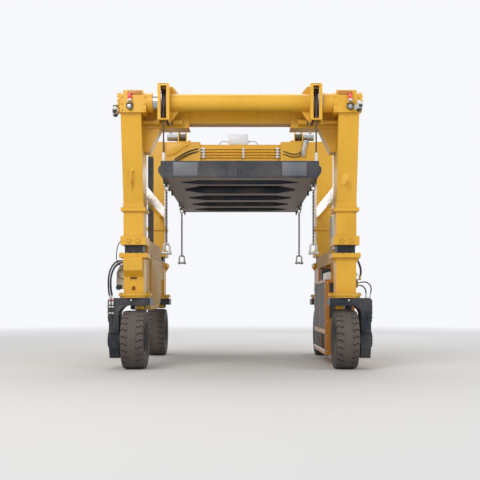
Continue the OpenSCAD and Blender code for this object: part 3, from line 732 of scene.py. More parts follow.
def spread(ways, x_offsets, y_offsets):
    """Bolt places on a column: at each X and Y offset, one for each (way, z)."""
    return [(way, (LEG_X + x, LEG_Y + y, z)) for x in x_offsets for y in y_offsets for way, z in ways]


# %% Bolts of the lower columns
slew = [p for p in ring("up", (LEG_X, LEG_Y, 1.502), 0.300, 24, 7.5)
        if abs(p[1][0] - LEG_X) > 0.225 or abs(p[1][1] - LEG_Y) > 0.235]
FLANGE = (("up", 2.290), ("down", 2.206))
flange = []
for step in (-0.24, -0.12, 0.0, 0.12, 0.24):
    flange += spread(FLANGE, [step], (-0.25, 0.25))
    if abs(step) < 0.2:
        flange += spread(FLANGE, (-0.235, 0.235), [step])
at_both_ends(bolts(slew + flange, 0.021), "column_bolts", "lower", yellow_paint)
print("column bolts laid")

# %% Bolts of the leg collars and heads
collar = []
for way, z in (("up", 2.620), ("down", 2.455)):
    collar += spread([(way, z)], (-0.222, -0.11, 0.0, 0.11, 0.222), (-0.268, 0.268))
for way, z in (("up", 3.185), ("down", 3.115)):
    collar += spread([(way, z)], (-0.215, 0.0, 0.215), (-0.266, 0.266))
for x in (-0.09, 0.09):
    collar += ring("front", (LEG_X + x, -2.258, 2.5375), 0.036, 6)
at_both_ends(bolts(collar, 0.016), "collar_bolts", "frame", yellow_paint)
HEAD_FRONT = -2.61
head = [("front", (x, HEAD_FRONT, z)) for x in (1.83, 2.26) for z in (5.00, 5.12, 5.25)]
head += ring("out", (2.335, -2.42, 5.185), 0.178, 14)
at_both_ends(bolts(head, 0.026), "head_bolts", "frame", yellow_paint)
print("leg and head bolts laid")

# %% [markdown]
# ## Wheel hubs and forks
#
# Each fork holds its wheel from outside. The cover of the hub motor is bolted to the
# fork's outer face, and the wheel disc shows its nuts on the lane side. A small
# black marker lamp with a pale eye stands in the middle of each fork's front edge.

# %% Hubs
hub = ring("out", (2.621, LEG_Y, WHEEL_Z), 0.132, 12)
at_every_corner(bolts(hub, 0.026), "hub_bolts", "fork", zinc)
nuts = ring("in", (2.025, LEG_Y, WHEEL_Z), 0.138, 10)
at_every_corner(bolts(nuts, 0.034), "wheel_nuts", "wheel", zinc)
cover = rod((2.6235, LEG_Y, WHEEL_Z), 0.105, 0.006, "x", 40,
            ("out", 0.02, 0.006), ("out", 0.045, -0.003), edge=0.002)
at_every_corner(cover, "hub_cover", "fork", fork_paint)
cap = rod((1.985, LEG_Y, WHEEL_Z), 0.062, 0.03, "x", 32, ("in", 0.012, 0.008), edge=0.003)
at_every_corner(cap, "spindle_cap", "fork", fork_paint)
print("hubs done")

# %% Fork plates, marker lamp and steering rod
fork_plate = box((1.80, -2.196, 1.285), (2.36, -2.19, 1.392), ("front", 0.012, 0.002), edge=0.003)
arm_plate = box((2.425, -2.195, 0.72), (2.585, -2.188, 0.78), ("front", 0.01, 0.003), edge=0.002)
at_every_corner(join([fork_plate, arm_plate], "plates"), "fork_plates", "fork", fork_paint)
MARKER_X, MARKER_Z = 2.14, 1.366
lamp = rod((MARKER_X, -2.205, MARKER_Z), 0.042, 0.014, "y", 32, ("front", 0.012, 0.004), edge=0.002)
at_every_corner(lamp, "marker_lamp", "fork", matt_black)
eye = rod((MARKER_X, -2.219, MARKER_Z), 0.019, 0.008, "y", 24, edge=0.003)
at_every_corner(eye, "marker_eye", "fork", signal_white)
STEERING_ROD_Z = 1.224
sleeve = rod((1.99, LEG_Y, STEERING_ROD_Z), 0.052, 0.15, "x", 32, ("in", 0.008, 0.004), edge=0.003)
at_every_corner(sleeve, "rod_sleeve", "fork", yellow_paint)
collar = rod((2.078, LEG_Y, STEERING_ROD_Z), 0.0525, 0.022, "x", 32, edge=0.003)
at_every_corner(collar, "rod_collar", "fork", signal_white)
fork_bolts = [("front", (x, -2.198, z)) for x in (1.83, 2.33) for z in (1.305, 1.372)]
fork_bolts += [("out", (2.605, y, z)) for y in (-2.12, -1.78) for z in (1.02, 1.12, 1.22)]
at_every_corner(bolts(fork_bolts, 0.022), "fork_bolts", "fork", fork_paint)
print("fork trim done")

# %% [markdown]
# ## Spreader
#
# The spreader's front is a shallow box girder: a rib in the middle, two long panels,
# and two raised end panels a shade lighter. Its underside is taupe, with dark recesses
# in it. A CAD piece has one finish, so the underside is a thin plate of its own, cut
# round the recesses, and a flat bar runs in each recess.

# %% Spreader front
SPREADER_LOW, SPREADER_TOP, SPREADER_FRONT = 3.69, 4.01, -2.72
spreader_light = paint("spreader_light", (0.105, 0.118, 0.145), rough=0.4, wear=PALE_WEAR)
# Each panel: near and far side, thickness, margins below and above, inset, push, rounding, finish
PANELS = [
    (0.035, 0.785, 0.004, 0.03, 0.02, 0.012, -0.002, 0.0015, spreader_blue),
    (0.80, 1.265, 0.008, 0.035, 0.025, 0.008, 0.002, 0.002, spreader_light),
]
panels = []
for sign in (-1, 1):
    for near, far, thick, below, above, inset, push, edge, material in PANELS:
        low_x, high_x = sorted((sign * near, sign * far))
        piece = box((low_x, SPREADER_FRONT - thick, SPREADER_LOW + below),
                    (high_x, SPREADER_FRONT, SPREADER_TOP - above), ("front", inset, push), edge=edge)
        panels.append(wear_finish(piece, material))
rib = box((-0.024, SPREADER_FRONT - 0.012, SPREADER_LOW), (0.024, SPREADER_FRONT, SPREADER_TOP),
          ("front", 0.012, -0.004), edge=0.002)
front = join(panels + [wear_finish(rib, spreader_blue)], "spreader_front_panels")
rear = copy_of(front, CORNERS["right", "rear"], "spreader_rear_panels")
for piece in (front, rear):
    ride(piece, "spreader")
print("spreader panels done")

# %% Spreader underside
# Each recess: where it starts along the machine, and its width
RECESSES = [(-2.44, 0.52), (-1.76, 1.09), (-0.38, 0.78), (0.72, 0.80), (1.76, 0.70)]
RECESS_HALF, RECESS_TAPER, RECESS_GAP = 1.15, 0.35, 0.004


def recess_outline(start, width):
    middle, long, short = start + width / 2, width / 2 + RECESS_GAP, width / 10 + RECESS_GAP
    end, taper = RECESS_HALF + RECESS_GAP, RECESS_HALF - RECESS_TAPER
    corners = [(-end, -short), (-taper, -long), (taper, -long), (end, -short)]
    corners += [(end, short), (taper, long), (-taper, long), (-end, short)]
    return [(x, middle + y) for x, y in corners]


skin = start_box((-1.464, -2.714, 3.6845), (1.464, 2.714, 3.6902), name="spreader_underside")
for start, width in RECESSES:
    cutter = outline_plate(recess_outline(start, width), lambda x, y: (x, y, 3.66), (0, 0, 0.06))
    only(skin)
    cut = skin.modifiers.new("cut", "BOOLEAN")
    cut.operation = "DIFFERENCE"
    cut.object = cutter
    bpy.ops.object.modifier_apply(modifier=cut.name)
    bpy.data.objects.remove(cutter)
dress(skin, spreader_taupe, "spreader")
print("underside faces", len(skin.data.polygons))

# %% Stiffeners in the recesses
# A flat bar runs along each recess, set back inside it, and catches a little light
bars = [
    box((-0.92, start + width - 0.075, 3.70), (0.92, start + width - 0.063, 3.80),
        ("front", 0.01, 0.002), edge=0.0015)
    for start, width in RECESSES
]
dress(join(bars, "recess_bars"), spreader_blue, "spreader")
print("recess bars", len(RECESSES))

# %% [markdown]
# ## Head lamps
#
# Each head carries a red beacon on a white bracket and a round black floodlight under
# it. The CAD lamps hold their places in one colour, so they are replaced by pieces with
# a ribbed lens, a reflector and a glass.

# %% Beacons and floodlights
lamp_glass = paint("lamp_glass", (0.35, 0.36, 0.37), rough=0.08, coat=1.0, dust=0.05, metal=0.3, edge=0.001)
LAMP_X, BEACON_Y, FLOOD_Z = 2.105, HEAD_FRONT - 0.042, 5.06
HEAD_LAMP = [
    (rod((LAMP_X, BEACON_Y, 5.245), 0.034, 0.115, "z", 28,
         ("up", 0.006, 0.006), ("up", 0.012, 0.004), edge=0.003), beacon_red),
    (rod((LAMP_X, BEACON_Y, 5.193), 0.038, 0.016, "z", 28, edge=0.003), signal_white),
    (box((LAMP_X - 0.037, HEAD_FRONT - 0.082, 5.166), (LAMP_X + 0.037, HEAD_FRONT, 5.186),
         ("front", 0.004, 0.003), edge=0.004), signal_white),
    (rod((LAMP_X, HEAD_FRONT - 0.028, FLOOD_Z), 0.055, 0.056, "y", 32,
         ("front", 0.007, 0.0), ("front", 0.001, -0.008), edge=0.002), matt_black),
    (rod((LAMP_X, HEAD_FRONT - 0.050, FLOOD_Z), 0.044, 0.006, "y", 32,
         ("front", 0.012, 0.003), edge=0.002), lamp_glass),
    (box((LAMP_X - 0.062, HEAD_FRONT - 0.034, 5.045), (LAMP_X + 0.062, HEAD_FRONT - 0.018, 5.128),
         ("up", 0.003, 0.003), edge=0.002), matt_black),
]
model = join([wear_finish(piece, material) for piece, material in HEAD_LAMP], "head_lamp")
for side in SIDES:
    made = join([copy_of(model, CORNERS[side, end]) for end in ENDS], side + "_head_lamps")
    ride(made, side + "_frame")
    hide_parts(side + "_lamps")
bpy.data.objects.remove(model)
print("lamps replaced")

# %% [markdown]
# ## Power pack
#
# The pack hangs low on the right side. Its front is a black louvred panel in an orange
# frame. Two taupe doors with sunk latches face the lane, and a grille with a pale sill
# lets the cooling air in below the front door. One slat is modelled and repeated.

# %% Pack front
PACK_FRONT, PACK_SIDE, PACK_TOP = -1.25, 1.775, 1.799
LOUVRE_PITCH = 0.0335


def stacked(piece, step, count, name):
    """Copies a piece upward, one step apart."""
    return copies(piece, [at(z=step * i) for i in range(count)], name)


panel = box((1.873, PACK_FRONT + 0.002, 0.983), (2.337, PACK_FRONT + 0.0115, 1.737),
            ("front", 0.03, -0.004), edge=0.002)
slat = box((1.925, PACK_FRONT - 0.004, 1.06), (2.285, PACK_FRONT + 0.008, 1.082),
           ("front", 0.004, 0.004), edge=0.003)
front = join([panel, stacked(slat, 0.045, 14, "louvres")], "pack_front_panel")
dress(front, matt_black, "right_lower")
print("pack front done")

# %% Intake grille and sill
bar = box((1.785, -1.155, 0.345), (1.800, -0.355, 0.357), ("in", 0.003, 0.003), edge=0.002)
grille = stacked(bar, LOUVRE_PITCH, 10, "grille")
post = box((1.789, -1.155, 0.335), (1.797, -1.143, 0.655), edge=0.002)
posts = copies(post, [at(y=0.197 * i) for i in range(5)], "posts")
dress(join([grille, posts], "intake_grille"), matt_black, "right_lower")
panel = box((PACK_SIDE, -0.310, 0.335), (1.7815, 1.060, 0.655), ("in", 0.010, -0.003))
slat = box((1.769, -0.300, 0.352), (1.778, 1.050, 0.362), edge=0.002)
rear_louvre = join([panel, stacked(slat, LOUVRE_PITCH, 9, "slats")], "rear_louvre")
dress(rear_louvre, matt_black, "right_lower")
sill = box((1.768, -1.175, 0.285), (1.781, 1.075, 0.326), ("in", 0.006, 0.003), edge=0.003, name="intake_sill")
dress(sill, signal_white, "right_lower")
print("intake done")

# %% Door skins, latches and hinges
LATCH_Z = 1.20
DOORS = {"front": (-1.190, -0.105), "rear": (-0.045, 1.040)}
for end, (low, high) in DOORS.items():
    y = high - 0.090
    lining = start_round((1.7885, y, LATCH_Z), 0.0225, 0.003, "x", 24)
    for vertex in lining.data.vertices:
        vertex.co.z += 0.1 if vertex.co.z > LATCH_Z else 0.0
    inset_push(lining, "in", 0.004, 0.001)
    handle = box((1.781, y - 0.009, 1.205), (1.788, y + 0.009, 1.290), ("in", 0.003, 0.002), edge=0.002)
    strip = box((1.7775, low + 0.02, 0.78), (1.7802, high - 0.02, 1.72), ("in", 0.012, -0.0012))
    parts = [wear_finish(lining, matt_black), wear_finish(handle, matt_black), wear_finish(strip, door_taupe)]
    ride(join(parts, end + "_door_skin"), "pack_door_" + end)
hinges = [
    rod((PACK_SIDE, y, z), 0.005, 0.09, "z", 16, ("up", 0.002, 0.003), edge=0.001)
    for y in (-1.199, 1.049) for z in (0.86, 1.25, 1.64)
]
dress(join(hinges, "door_hinges"), zinc, "right_lower")
print("doors done")

# %% Boxes on top of the pack
filter_cover = box((1.80, -1.20, PACK_TOP), (2.15, -0.62, 1.945),
                   ("up", 0.05, 0.018), edge=0.022, segments=4, name="air_filter_cover")
dress(filter_cover, signal_white, "right_lower")
relay_box = box((1.805, -0.56, PACK_TOP), (2.02, -0.12, 2.06),
                ("in", 0.02, 0.006), ("front", 0.02, 0.006), edge=0.006, name="relay_box")
dress(relay_box, matt_black, "right_lower")
rails = [
    box((1.776, PACK_FRONT, z - 0.010), (1.7805, 1.10, z + 0.010), ("in", 0.004, 0.001), edge=0.001)
    for z in (0.70, 1.775)
]
dress(join(rails, "pack_rails"), pack_orange, "right_lower")
pack_bolts = [("front", (x, PACK_FRONT, z)) for x in (1.825, 2.37) for z in (0.30, 0.62, 0.94, 1.35, 1.74)]
pack_bolts += [("in", (1.78, y, z)) for y in (-1.22, -0.075, 1.07) for z in (0.27, 0.73, 1.77)]
dress(bolts(pack_bolts, 0.018, "pack_bolts"), zinc, "right_lower")
print("pack top done")

# %% Exhaust
EXHAUST_X, EXHAUST_Y = 2.1925, 0.96
bands = []
for z in (2.16, 2.45, 2.74, 3.03, 3.29):
    bands.append(rod((EXHAUST_X, EXHAUST_Y, z), 0.0605, 0.018, "z", 40, edge=0.002))
    bands.append(box((EXHAUST_X - 0.085, EXHAUST_Y - 0.008, z - 0.008),
                     (EXHAUST_X - 0.055, EXHAUST_Y + 0.008, z + 0.008), edge=0.002))
tip = rod((EXHAUST_X, EXHAUST_Y, 3.36), 0.047, 0.06, "z", 40,
          ("up", 0.004, 0.0), ("up", 0.0005, -0.05), edge=0.001)
dress(join(bands + [tip], "exhaust_clamps"), zinc, "right_lower")
print("exhaust pieces", len(bands) + 1)

# %% [markdown]
# ## Side tank and side beam
#
# The left tank is a folded tan box with a bolted cover on its lane side. The right beam
# ties the two columns above the pack. Both get their covers' bolts and weld beads,
# because a large plain sheet looks unfinished without them.

# %% Tank cover
TANK_FACE, TANK_MIDDLE = -1.8725, 1.80
COVER = [(-1.18, 2.20), (-1.05, 2.33), (0.62, 2.33), (0.90, 2.05),
         (0.86, 1.56), (0.50, 1.30), (-0.95, 1.28), (-1.18, 1.50)]
lid = outline_plate(
    [(y * 0.93 - 0.01, TANK_MIDDLE + (z - TANK_MIDDLE) * 0.88) for y, z in COVER],
    lambda y, z: (TANK_FACE, y, z), (0.006, 0, 0), edge=0.002, name="lid",
)
lid_bolts = []
for (y0, z0), (y1, z1) in zip(COVER, COVER[1:] + COVER[:1]):
    steps = max(1, round(math.hypot(y1 - y0, z1 - z0) / 0.24))
    for i in range(steps):
        y, z = y0 + (y1 - y0) * i / steps, z0 + (z1 - z0) * i / steps
        lid_bolts.append(("out", (TANK_FACE, y * 0.965 - 0.005, TANK_MIDDLE + (z - TANK_MIDDLE) * 0.935)))
dress(lid, panel_tan, "left_lower")
dress(bolts(lid_bolts, 0.02, "tank_cover_bolts"), zinc, "left_lower")
filler = rod((-2.08, 0.40, 2.635), 0.06, 0.03, "z", 32,
             ("up", 0.014, 0.018), ("up", 0.03, -0.006), edge=0.004, name="filler")
dress(filler, matt_black, "left_lower")
print("tank cover bolts", len(lid_bolts))

# %% Beam's weld line
seam = box((1.8935, -1.28, 2.272), (1.8985, 1.28, 2.282), edge=0.002, name="seam")
dress(seam, panel_tan, "right_lower")
print("seam laid")

# %% [markdown]
# ## Rear cross unit
#
# Between the rear sleeves runs a bank of four thin pipes in pale clamps. Their ends
# turn into fittings and hoses that drop to the legs. Above it sits a pale junction box
# with glands and plugs, and at both ends the silver hoist motors stand on their frames.

# %% Pipe fittings and clamps
PIPE_Y, PIPE_ROWS = 1.77, [4.9425 + 0.07 * i for i in range(4)]
fitting = rod((0, PIPE_Y, 0), 0.024, 0.045, "x", 6,
              ("out", 0.004, 0.006), ("in", 0.004, 0.006), edge=0.002, segments=1)
spots = [at(x, 0, z) for z in PIPE_ROWS for x in (-0.955, -0.90, 0.905, 0.955)]
dress(copies(fitting, spots, "pipe_fittings"), zinc, "crossbeams")
clamp = box((-0.028, PIPE_Y - 0.028, -0.026), (0.028, PIPE_Y + 0.012, 0.026),
            ("front", 0.008, 0.004), edge=0.003, segments=1)
spots = [at(x, 0, z) for z in PIPE_ROWS for x in (-0.92, 0.07, 0.92)]
dress(copies(clamp, spots, "pipe_clamps"), signal_white, "crossbeams")
print("pipe rows", len(PIPE_ROWS))

# %% Junction box
BOX_LOW, BOX_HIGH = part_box("junction_box")
lid = box((BOX_LOW.x + 0.015, BOX_LOW.y - 0.012, BOX_LOW.z + 0.015),
          (BOX_HIGH.x - 0.015, BOX_LOW.y, BOX_HIGH.z - 0.015), ("front", 0.02, 0.004), edge=0.003, name="lid")
dress(lid, box_grey, "crossbeams")
glands = [
    rod((x, BOX_LOW.y + 0.04 + 0.045 * i, BOX_LOW.z + 0.09 + 0.03 * (i % 2)), 0.016, 0.034, "x", 6,
        (way, 0.005, 0.012), edge=0.0015, segments=1)
    for x, way in ((BOX_LOW.x - 0.015, "in"), (BOX_HIGH.x + 0.015, "out")) for i in range(4)
]
dress(join(glands, "box_glands"), box_grey, "crossbeams")
print("glands", len(glands))

# %% Hoist motors
MOTOR_Y, MOTOR_Z = 1.95, 5.478
motor_parts, motor_bolts = [], []
for sign, way in ((-1, "in"), (1, "out")):
    for x0, x1, radius in ((1.632, 1.642, 0.096), (1.70, 1.712, 0.094), (1.80, 1.81, 0.093)):
        low, high = sorted((sign * x0, sign * x1))
        motor_parts.append(rod(((low + high) / 2, MOTOR_Y, MOTOR_Z), radius, high - low, "x", 40,
                               (way, 0.004, 0.001), edge=0.0015))
    low, high = sorted((sign * 1.72, sign * 1.79))
    motor_parts.append(box((low, 1.90, 5.555), (high, 1.99, 5.588), ("up", 0.01, 0.006), edge=0.003))
    motor_bolts += ring(way, (sign * 1.625, MOTOR_Y, MOTOR_Z), 0.088, 8, 22.5)
    motor_bolts += ring(way, (sign * 1.839, MOTOR_Y, MOTOR_Z), 0.07, 6)
dress(join(motor_parts, "motor_hoops"), cast_silver, "crossbeams")
dress(bolts(motor_bolts, 0.018, "motor_bolts"), zinc, "crossbeams")
print("motors done")

# %% [markdown]
# ## Energy chains
#
# The cables to the lower legs run in plastic chains on the outer faces of the side rails.
# Each link is a short open frame. One link is modelled, and the rest are copies set one
# pitch apart, each a little proud of the plain guide.

# %% Chain links
LINK_PITCH, LINK_COUNT = 0.05, 39
GUIDE_MOVES = {"left": 0.76, "right": -1.04}
link = box((2.012, -0.416, 2.700), (2.130, -0.284, 2.738),
           ("front", 0.010, -0.004), ("in", 0.010, -0.004), ("out", 0.010, -0.004), edge=0.003, segments=1)
pivot = start_round((2.071, -0.4175, 2.719), 0.011, 0.006, "y", 12)
row = stacked(join([link, pivot], "link"), LINK_PITCH, LINK_COUNT, "links")
for side in SIDES:
    made = copy_of(row, CORNERS[side, "front"] @ at(y=GUIDE_MOVES[side]), side + "_chain_links")
    dress(made, matt_black, side + "_frame")
bpy.data.objects.remove(row)
print("links a side:", LINK_COUNT)

# %% [markdown]
# ## Chain slings
#
# Four slings hang from the spreader's lugs, with nothing on them. The CAD has each as
# one bar between two bows. Here the bar becomes links that hang in each other, every
# other link turned by a quarter. A link is a torus stretched in edit mode, with few
# faces, because over a hundred are needed. The bows are tubes swept round an arch.

# %% One link
chain_steel = paint("chain_steel", (0.10, 0.085, 0.075), rough=0.45, metal=0.7, dust=0.25, edge=0.001)
bow_zinc = paint("bow_zinc", (0.50, 0.49, 0.46), rough=0.4, metal=0.6, dust=0.3, edge=0.002)
LINK_WIRE, LINK_HALF, LINK_STEP, LINK_STRETCH = 0.0075, 0.0165, 0.0335, 0.018


def chain_link():
    bpy.ops.mesh.primitive_torus_add(
        major_segments=12, minor_segments=6, major_radius=LINK_HALF, minor_radius=LINK_WIRE,
        rotation=(math.pi / 2, 0, 0),
    )
    piece = settle("link")
    bpy.ops.object.mode_set(mode="EDIT")
    bpy.ops.mesh.select_all(action="DESELECT")
    bpy.ops.object.mode_set(mode="OBJECT")
    for vertex in piece.data.vertices:
        vertex.select = vertex.co.z > 0.001
    bpy.ops.object.mode_set(mode="EDIT")
    bpy.ops.transform.translate(value=(0, 0, LINK_STRETCH))
    edit_end()
    bpy.ops.object.shade_smooth()
    return piece


# %% Bows
def bow(name, half, wire, reach, pin_half, pin_r, sign):
    """A bow with its pin's centre at the origin and its arch below, or above if sign is -1."""
    leg = half - wire / 2
    arch = [(-leg, 0.03), (-leg, 0.0), (-leg, -reach * 0.5)]
    for i in range(13):
        angle = math.pi + math.pi * i / 12
        arch.append((leg * math.cos(angle), -reach + leg * math.sin(angle)))
    arch += [(leg, -reach * 0.5), (leg, 0.0), (leg, 0.03)]
    parts = [
        tube(name, [(x, 0, sign * z) for x, z in arch], wire * 1.24, 3),
        rod((0, 0, 0), pin_r, 2 * pin_half, "x", 24, ("out", 0.006, 0.004), edge=0.002),
        rod((pin_half - 0.012, 0, 0), pin_r * 1.5, 0.022, "x", 6, edge=0.002),
    ]
    parts += [rod((x, 0, 0), pin_r * 1.42, wire * 1.15, "x", 24, edge=0.003) for x in (-leg, leg)]
    return wear_finish(join(parts, name), bow_zinc)


top_bow = bow("top_bow", 0.046, 0.022, 0.072, 0.062, 0.0245, 1)
low_bow = bow("low_bow", 0.078, 0.030, 0.120, 0.100, 0.0255, -1)

# %% Hanging the slings
PIN_Z, SLING_LENGTH, LUG_X = 3.6363, 1.150, 1.45
chain_top, chain_low = PIN_Z - 0.096, PIN_Z - SLING_LENGTH - 0.045
count = int((chain_top - chain_low) / LINK_STEP)
quarter_turn = Matrix.Rotation(math.pi / 2, 4, "Z")
spots = [at(z=chain_top - 0.034 - LINK_STEP * i) @ (quarter_turn if i % 2 == 0 else Matrix.Identity(4))
         for i in range(count)]
chain = wear_finish(copies(chain_link(), spots, "chain"), chain_steel)
top_bow.data.transform(at(z=PIN_Z))
low_bow.data.transform(at(z=PIN_Z - SLING_LENGTH - 0.190))
sling = join([chain, top_bow, low_bow], "sling")
slings = copies(sling, [at(x * LUG_X, y) for x in (-1, 1) for y in (-2.15, 1.60)], "chain_slings")
ride(slings, "spreader")
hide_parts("slings")
print("links a sling:", count)

# %% [markdown]
# ## Hoses
#
# Hydraulic hoses cross from each column to its fork, and the fork steers, so they hang in
# wide curves with slack. A hose is one smooth line through a few points, made round by a
# curve's bevel and turned into a mesh. A hose between two bodies rides on neither. Each
# hose's length is recorded in a table, and both ends sit in a crimped fitting.

# %% A smooth line
def smooth_line(points, count=26):
    """Points spread evenly along a smooth curve that passes through the given ones."""
    given = [Vector(point) for point in points]
    given = [2 * given[0] - given[1]] + given + [2 * given[-1] - given[-2]]
    dense = []
    for a, b, c, d in zip(given, given[1:], given[2:], given[3:]):
        for step in range(24):
            t = step / 24
            bent = 2 * b + (c - a) * t + (2 * a - 5 * b + 4 * c - d) * t**2 + (3 * b - a - 3 * c + d) * t**3
            dense.append(bent / 2)
    dense.append(given[-2])
    walked = [0.0]
    for a, b in zip(dense, dense[1:]):
        walked.append(walked[-1] + (b - a).length)
    even, index = [], 0
    for i in range(count):
        want = walked[-1] * i / (count - 1)
        while index < len(dense) - 2 and walked[index + 1] < want:
            index += 1
        share = (want - walked[index]) / (walked[index + 1] - walked[index])
        even.append(dense[index].lerp(dense[index + 1], min(share, 1.0)))
    return even


# %% Crimped ends
def crimp_model():
    """A fitting for a hose 1 wide, so that a copy is scaled by the hose's diameter."""
    sleeve = rod((0, 0, -0.030), 1.18 * 0.5, 0.060, "z", 16, ("down", 0.10, 0.004))
    nut = rod((0, 0, 0.012), 1.35 * 0.5, 0.024, "z", 6, ("up", 0.08, 0.004))
    return join([sleeve, nut], "crimp")


def crimps(name, places, finish, body):
    """Fittings at (point, direction, diameter); a direction leads from the hose into its seat."""
    matrices = []
    for point, direction, diameter in places:
        turn = Vector((0, 0, 1)).rotation_difference(direction).to_matrix().to_4x4()
        matrices.append(at(*point) @ turn @ Matrix.Diagonal((diameter, diameter, 1, 1)))
    return dress(copies(crimp_model(), matrices, name), finish, body)


# %% Declaring a hose
hose_lengths = {}


def corner_points(points, side, end):
    return [CORNERS[side, end] @ Vector(point) for point in points]


def hose(name, route, diameter, body, other=None):
    """Lays a hose, and returns both its ends as places for crimps.

    With another body, it rides on neither body, and its place is applied to its mesh.
    """
    line = smooth_line(route)
    piece = wear_finish(tube(name, line, diameter), hose_rubber)
    length = sum((b - a).length for a, b in zip(line, line[1:]))
    if other:
        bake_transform(piece)
    else:
        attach(piece, body)
    hose_lengths[name] = round(length, 2)
    return (line[0], line[0] - line[1], diameter), (line[-1], line[-1] - line[-2], diameter)


# %% Hoses at the left corners
FORK_HOSES = {
    "a": [(2.300, -2.090, 2.135), (2.370, -2.104, 2.146), (2.448, -2.130, 2.118), (2.512, -2.160, 2.045),
          (2.560, -2.190, 1.930), (2.584, -2.208, 1.780), (2.582, -2.214, 1.600), (2.567, -2.215, 1.470),
          (2.560, -2.215, 1.395)],
    "b": [(2.300, -2.080, 2.085), (2.362, -2.092, 2.092), (2.430, -2.115, 2.062), (2.486, -2.145, 1.990),
          (2.524, -2.178, 1.880), (2.540, -2.202, 1.750), (2.532, -2.213, 1.590), (2.510, -2.215, 1.460),
          (2.502, -2.215, 1.395)],
    "c": [(2.300, -2.040, 2.105), (2.364, -2.048, 2.112), (2.435, -2.066, 2.080), (2.494, -2.092, 2.005),
          (2.536, -2.120, 1.890), (2.556, -2.138, 1.760), (2.555, -2.145, 1.620), (2.541, -2.146, 1.510),
          (2.535, -2.146, 1.432)],
}
FORK_HOSE = 0.034
for end in ENDS:
    tops, lows = [], []
    for key, points in FORK_HOSES.items():
        top, low = hose(
            f"fork_hose_{key}_left_{end}", corner_points(points, "left", end), FORK_HOSE,
            "left_lower", "fork_left_" + end,
        )
        tops.append(top)
        lows.append(low)
    crimps("column_crimps_left_" + end, tops, zinc, "left_lower")
    crimps("fork_crimps_left_" + end, lows, signal_white, "fork_left_" + end)
print(hose_lengths)

# %% Hoses at the right corners
COLUMN_HOSES = [
    [(2.335, -2.09 + 0.034 * i, 2.196), (2.350, -2.09 + 0.034 * i, 2.130), (2.388, -2.09 + 0.034 * i, 2.020),
     (2.400, -2.09 + 0.034 * i, 1.930), (2.388, -2.09 + 0.034 * i, 1.845), (2.380, -2.09 + 0.034 * i, 1.795)]
    for i in range(3)
]
OVER_HOSE = [(2.319, -2.100, 1.700), (2.400, -2.104, 1.722), (2.495, -2.112, 1.722), (2.570, -2.122, 1.668),
             (2.592, -2.130, 1.590), (2.578, -2.136, 1.500), (2.566, -2.138, 1.432)]
SHORT_HOSES = [
    [(2.319, y, 1.650), (2.380, y, 1.661), (x - 0.052, y - 0.002, 1.639), (x - 0.010, y - 0.008, 1.584),
     (x + 0.006, y - 0.011, 1.513), (x + 0.006, y - 0.012, 1.432)]
    for x, y in ((2.491, -2.070), (2.502, -2.020))
]
COLUMN_HOSE, THIN_HOSE = 0.030, 0.024
for end in ENDS:
    tops, middles, lows = [], [], []
    for index, points in enumerate(COLUMN_HOSES):
        route = corner_points(points, "right", end)
        top, low = hose(f"column_hose_{index + 1}_right_{end}", route, COLUMN_HOSE, "right_lower")
        tops.append(top)
        middles.append(low)
    for index, points in enumerate([OVER_HOSE] + SHORT_HOSES):
        top, low = hose(
            f"fork_hose_{index + 1}_right_{end}", corner_points(points, "right", end), THIN_HOSE,
            "right_lower", "fork_right_" + end,
        )
        middles.append(top)
        lows.append(low)
    crimps("column_crimps_right_" + end, tops, zinc, "right_lower")
    crimps("brass_crimps_right_" + end, middles, brass, "right_lower")
    crimps("fork_crimps_right_" + end, lows, zinc, "fork_right_" + end)
print(len(hose_lengths), "hoses so far")

# %% Hoses over the height joint
HEIGHT_HOSE = [(2.349, -2.000, 2.560), (2.398, -2.006, 2.520), (2.440, -2.014, 2.420), (2.458, -2.022, 2.290),
               (2.452, -2.026, 2.170), (2.412, -2.026, 2.085), (2.352, -2.024, 2.045), (2.297, -2.022, 2.035)]
for end in ENDS:
    route = corner_points(HEIGHT_HOSE, "left", end)
    hose("height_hose_left_" + end, route, 0.017, "left_frame", "left_lower")

# %% Hoses from the pipes to the hoists
PIPE_LEVELS = (4.942, 5.012, 5.082, 5.152)
SMALL_HOSE, SLEEVE_HOSE = 0.022, 0.030
HOIST_HOSES = [
    [(0.963, -1.770, z), (1.030, -1.764, z), (1.120, -1.738, z - 0.012), (1.250, -1.722, z - 0.060),
     (1.390, -1.712, z - 0.072), (1.510, -1.706, z - 0.017), (x - 0.112, -1.704, z + 0.093),
     (x - 0.050, -1.716, z + 0.208), (x - 0.014, -1.765, 5.378), (x, -1.853, 5.430)]
    for z, x in ((5.012, 1.672), (5.082, 1.712))
]
SLEEVE_HOSES = [
    [(0.963, -1.770, z), (1.030, -1.763, z - 0.002), (1.130, -1.738, z - 0.020),
     (1.270, -1.722, z - 0.064), (1.410, -1.708, z - 0.136), (1.530, -1.704, z - 0.206),
     (1.620, -1.714, z - 0.266), (1.690, -1.744, z - 0.308)]
    for z in (5.082, 5.152)
]
BOX_HOSES = {
    "right": [(0.214, -1.880, 5.352), (0.262, -1.880, 5.362), (0.330, -1.880, 5.362), (0.395, -1.880, 5.333),
              (0.432, -1.880, 5.290), (0.440, -1.880, 5.264)],
    "left": [(0.324, -1.880, 5.352), (0.372, -1.880, 5.362), (0.440, -1.880, 5.358), (0.500, -1.880, 5.328),
             (0.532, -1.880, 5.288), (0.540, -1.880, 5.264)],
}
for side, points in BOX_HOSES.items():
    hose("box_hose_" + side, corner_points(points, side, "rear"), 0.014, "crossbeams")
seats = []
for index, points in enumerate(HOIST_HOSES):
    seats += hose(f"hoist_hose_{index + 1}", corner_points(points, "right", "rear"), SMALL_HOSE, "crossbeams")
far_seats = []
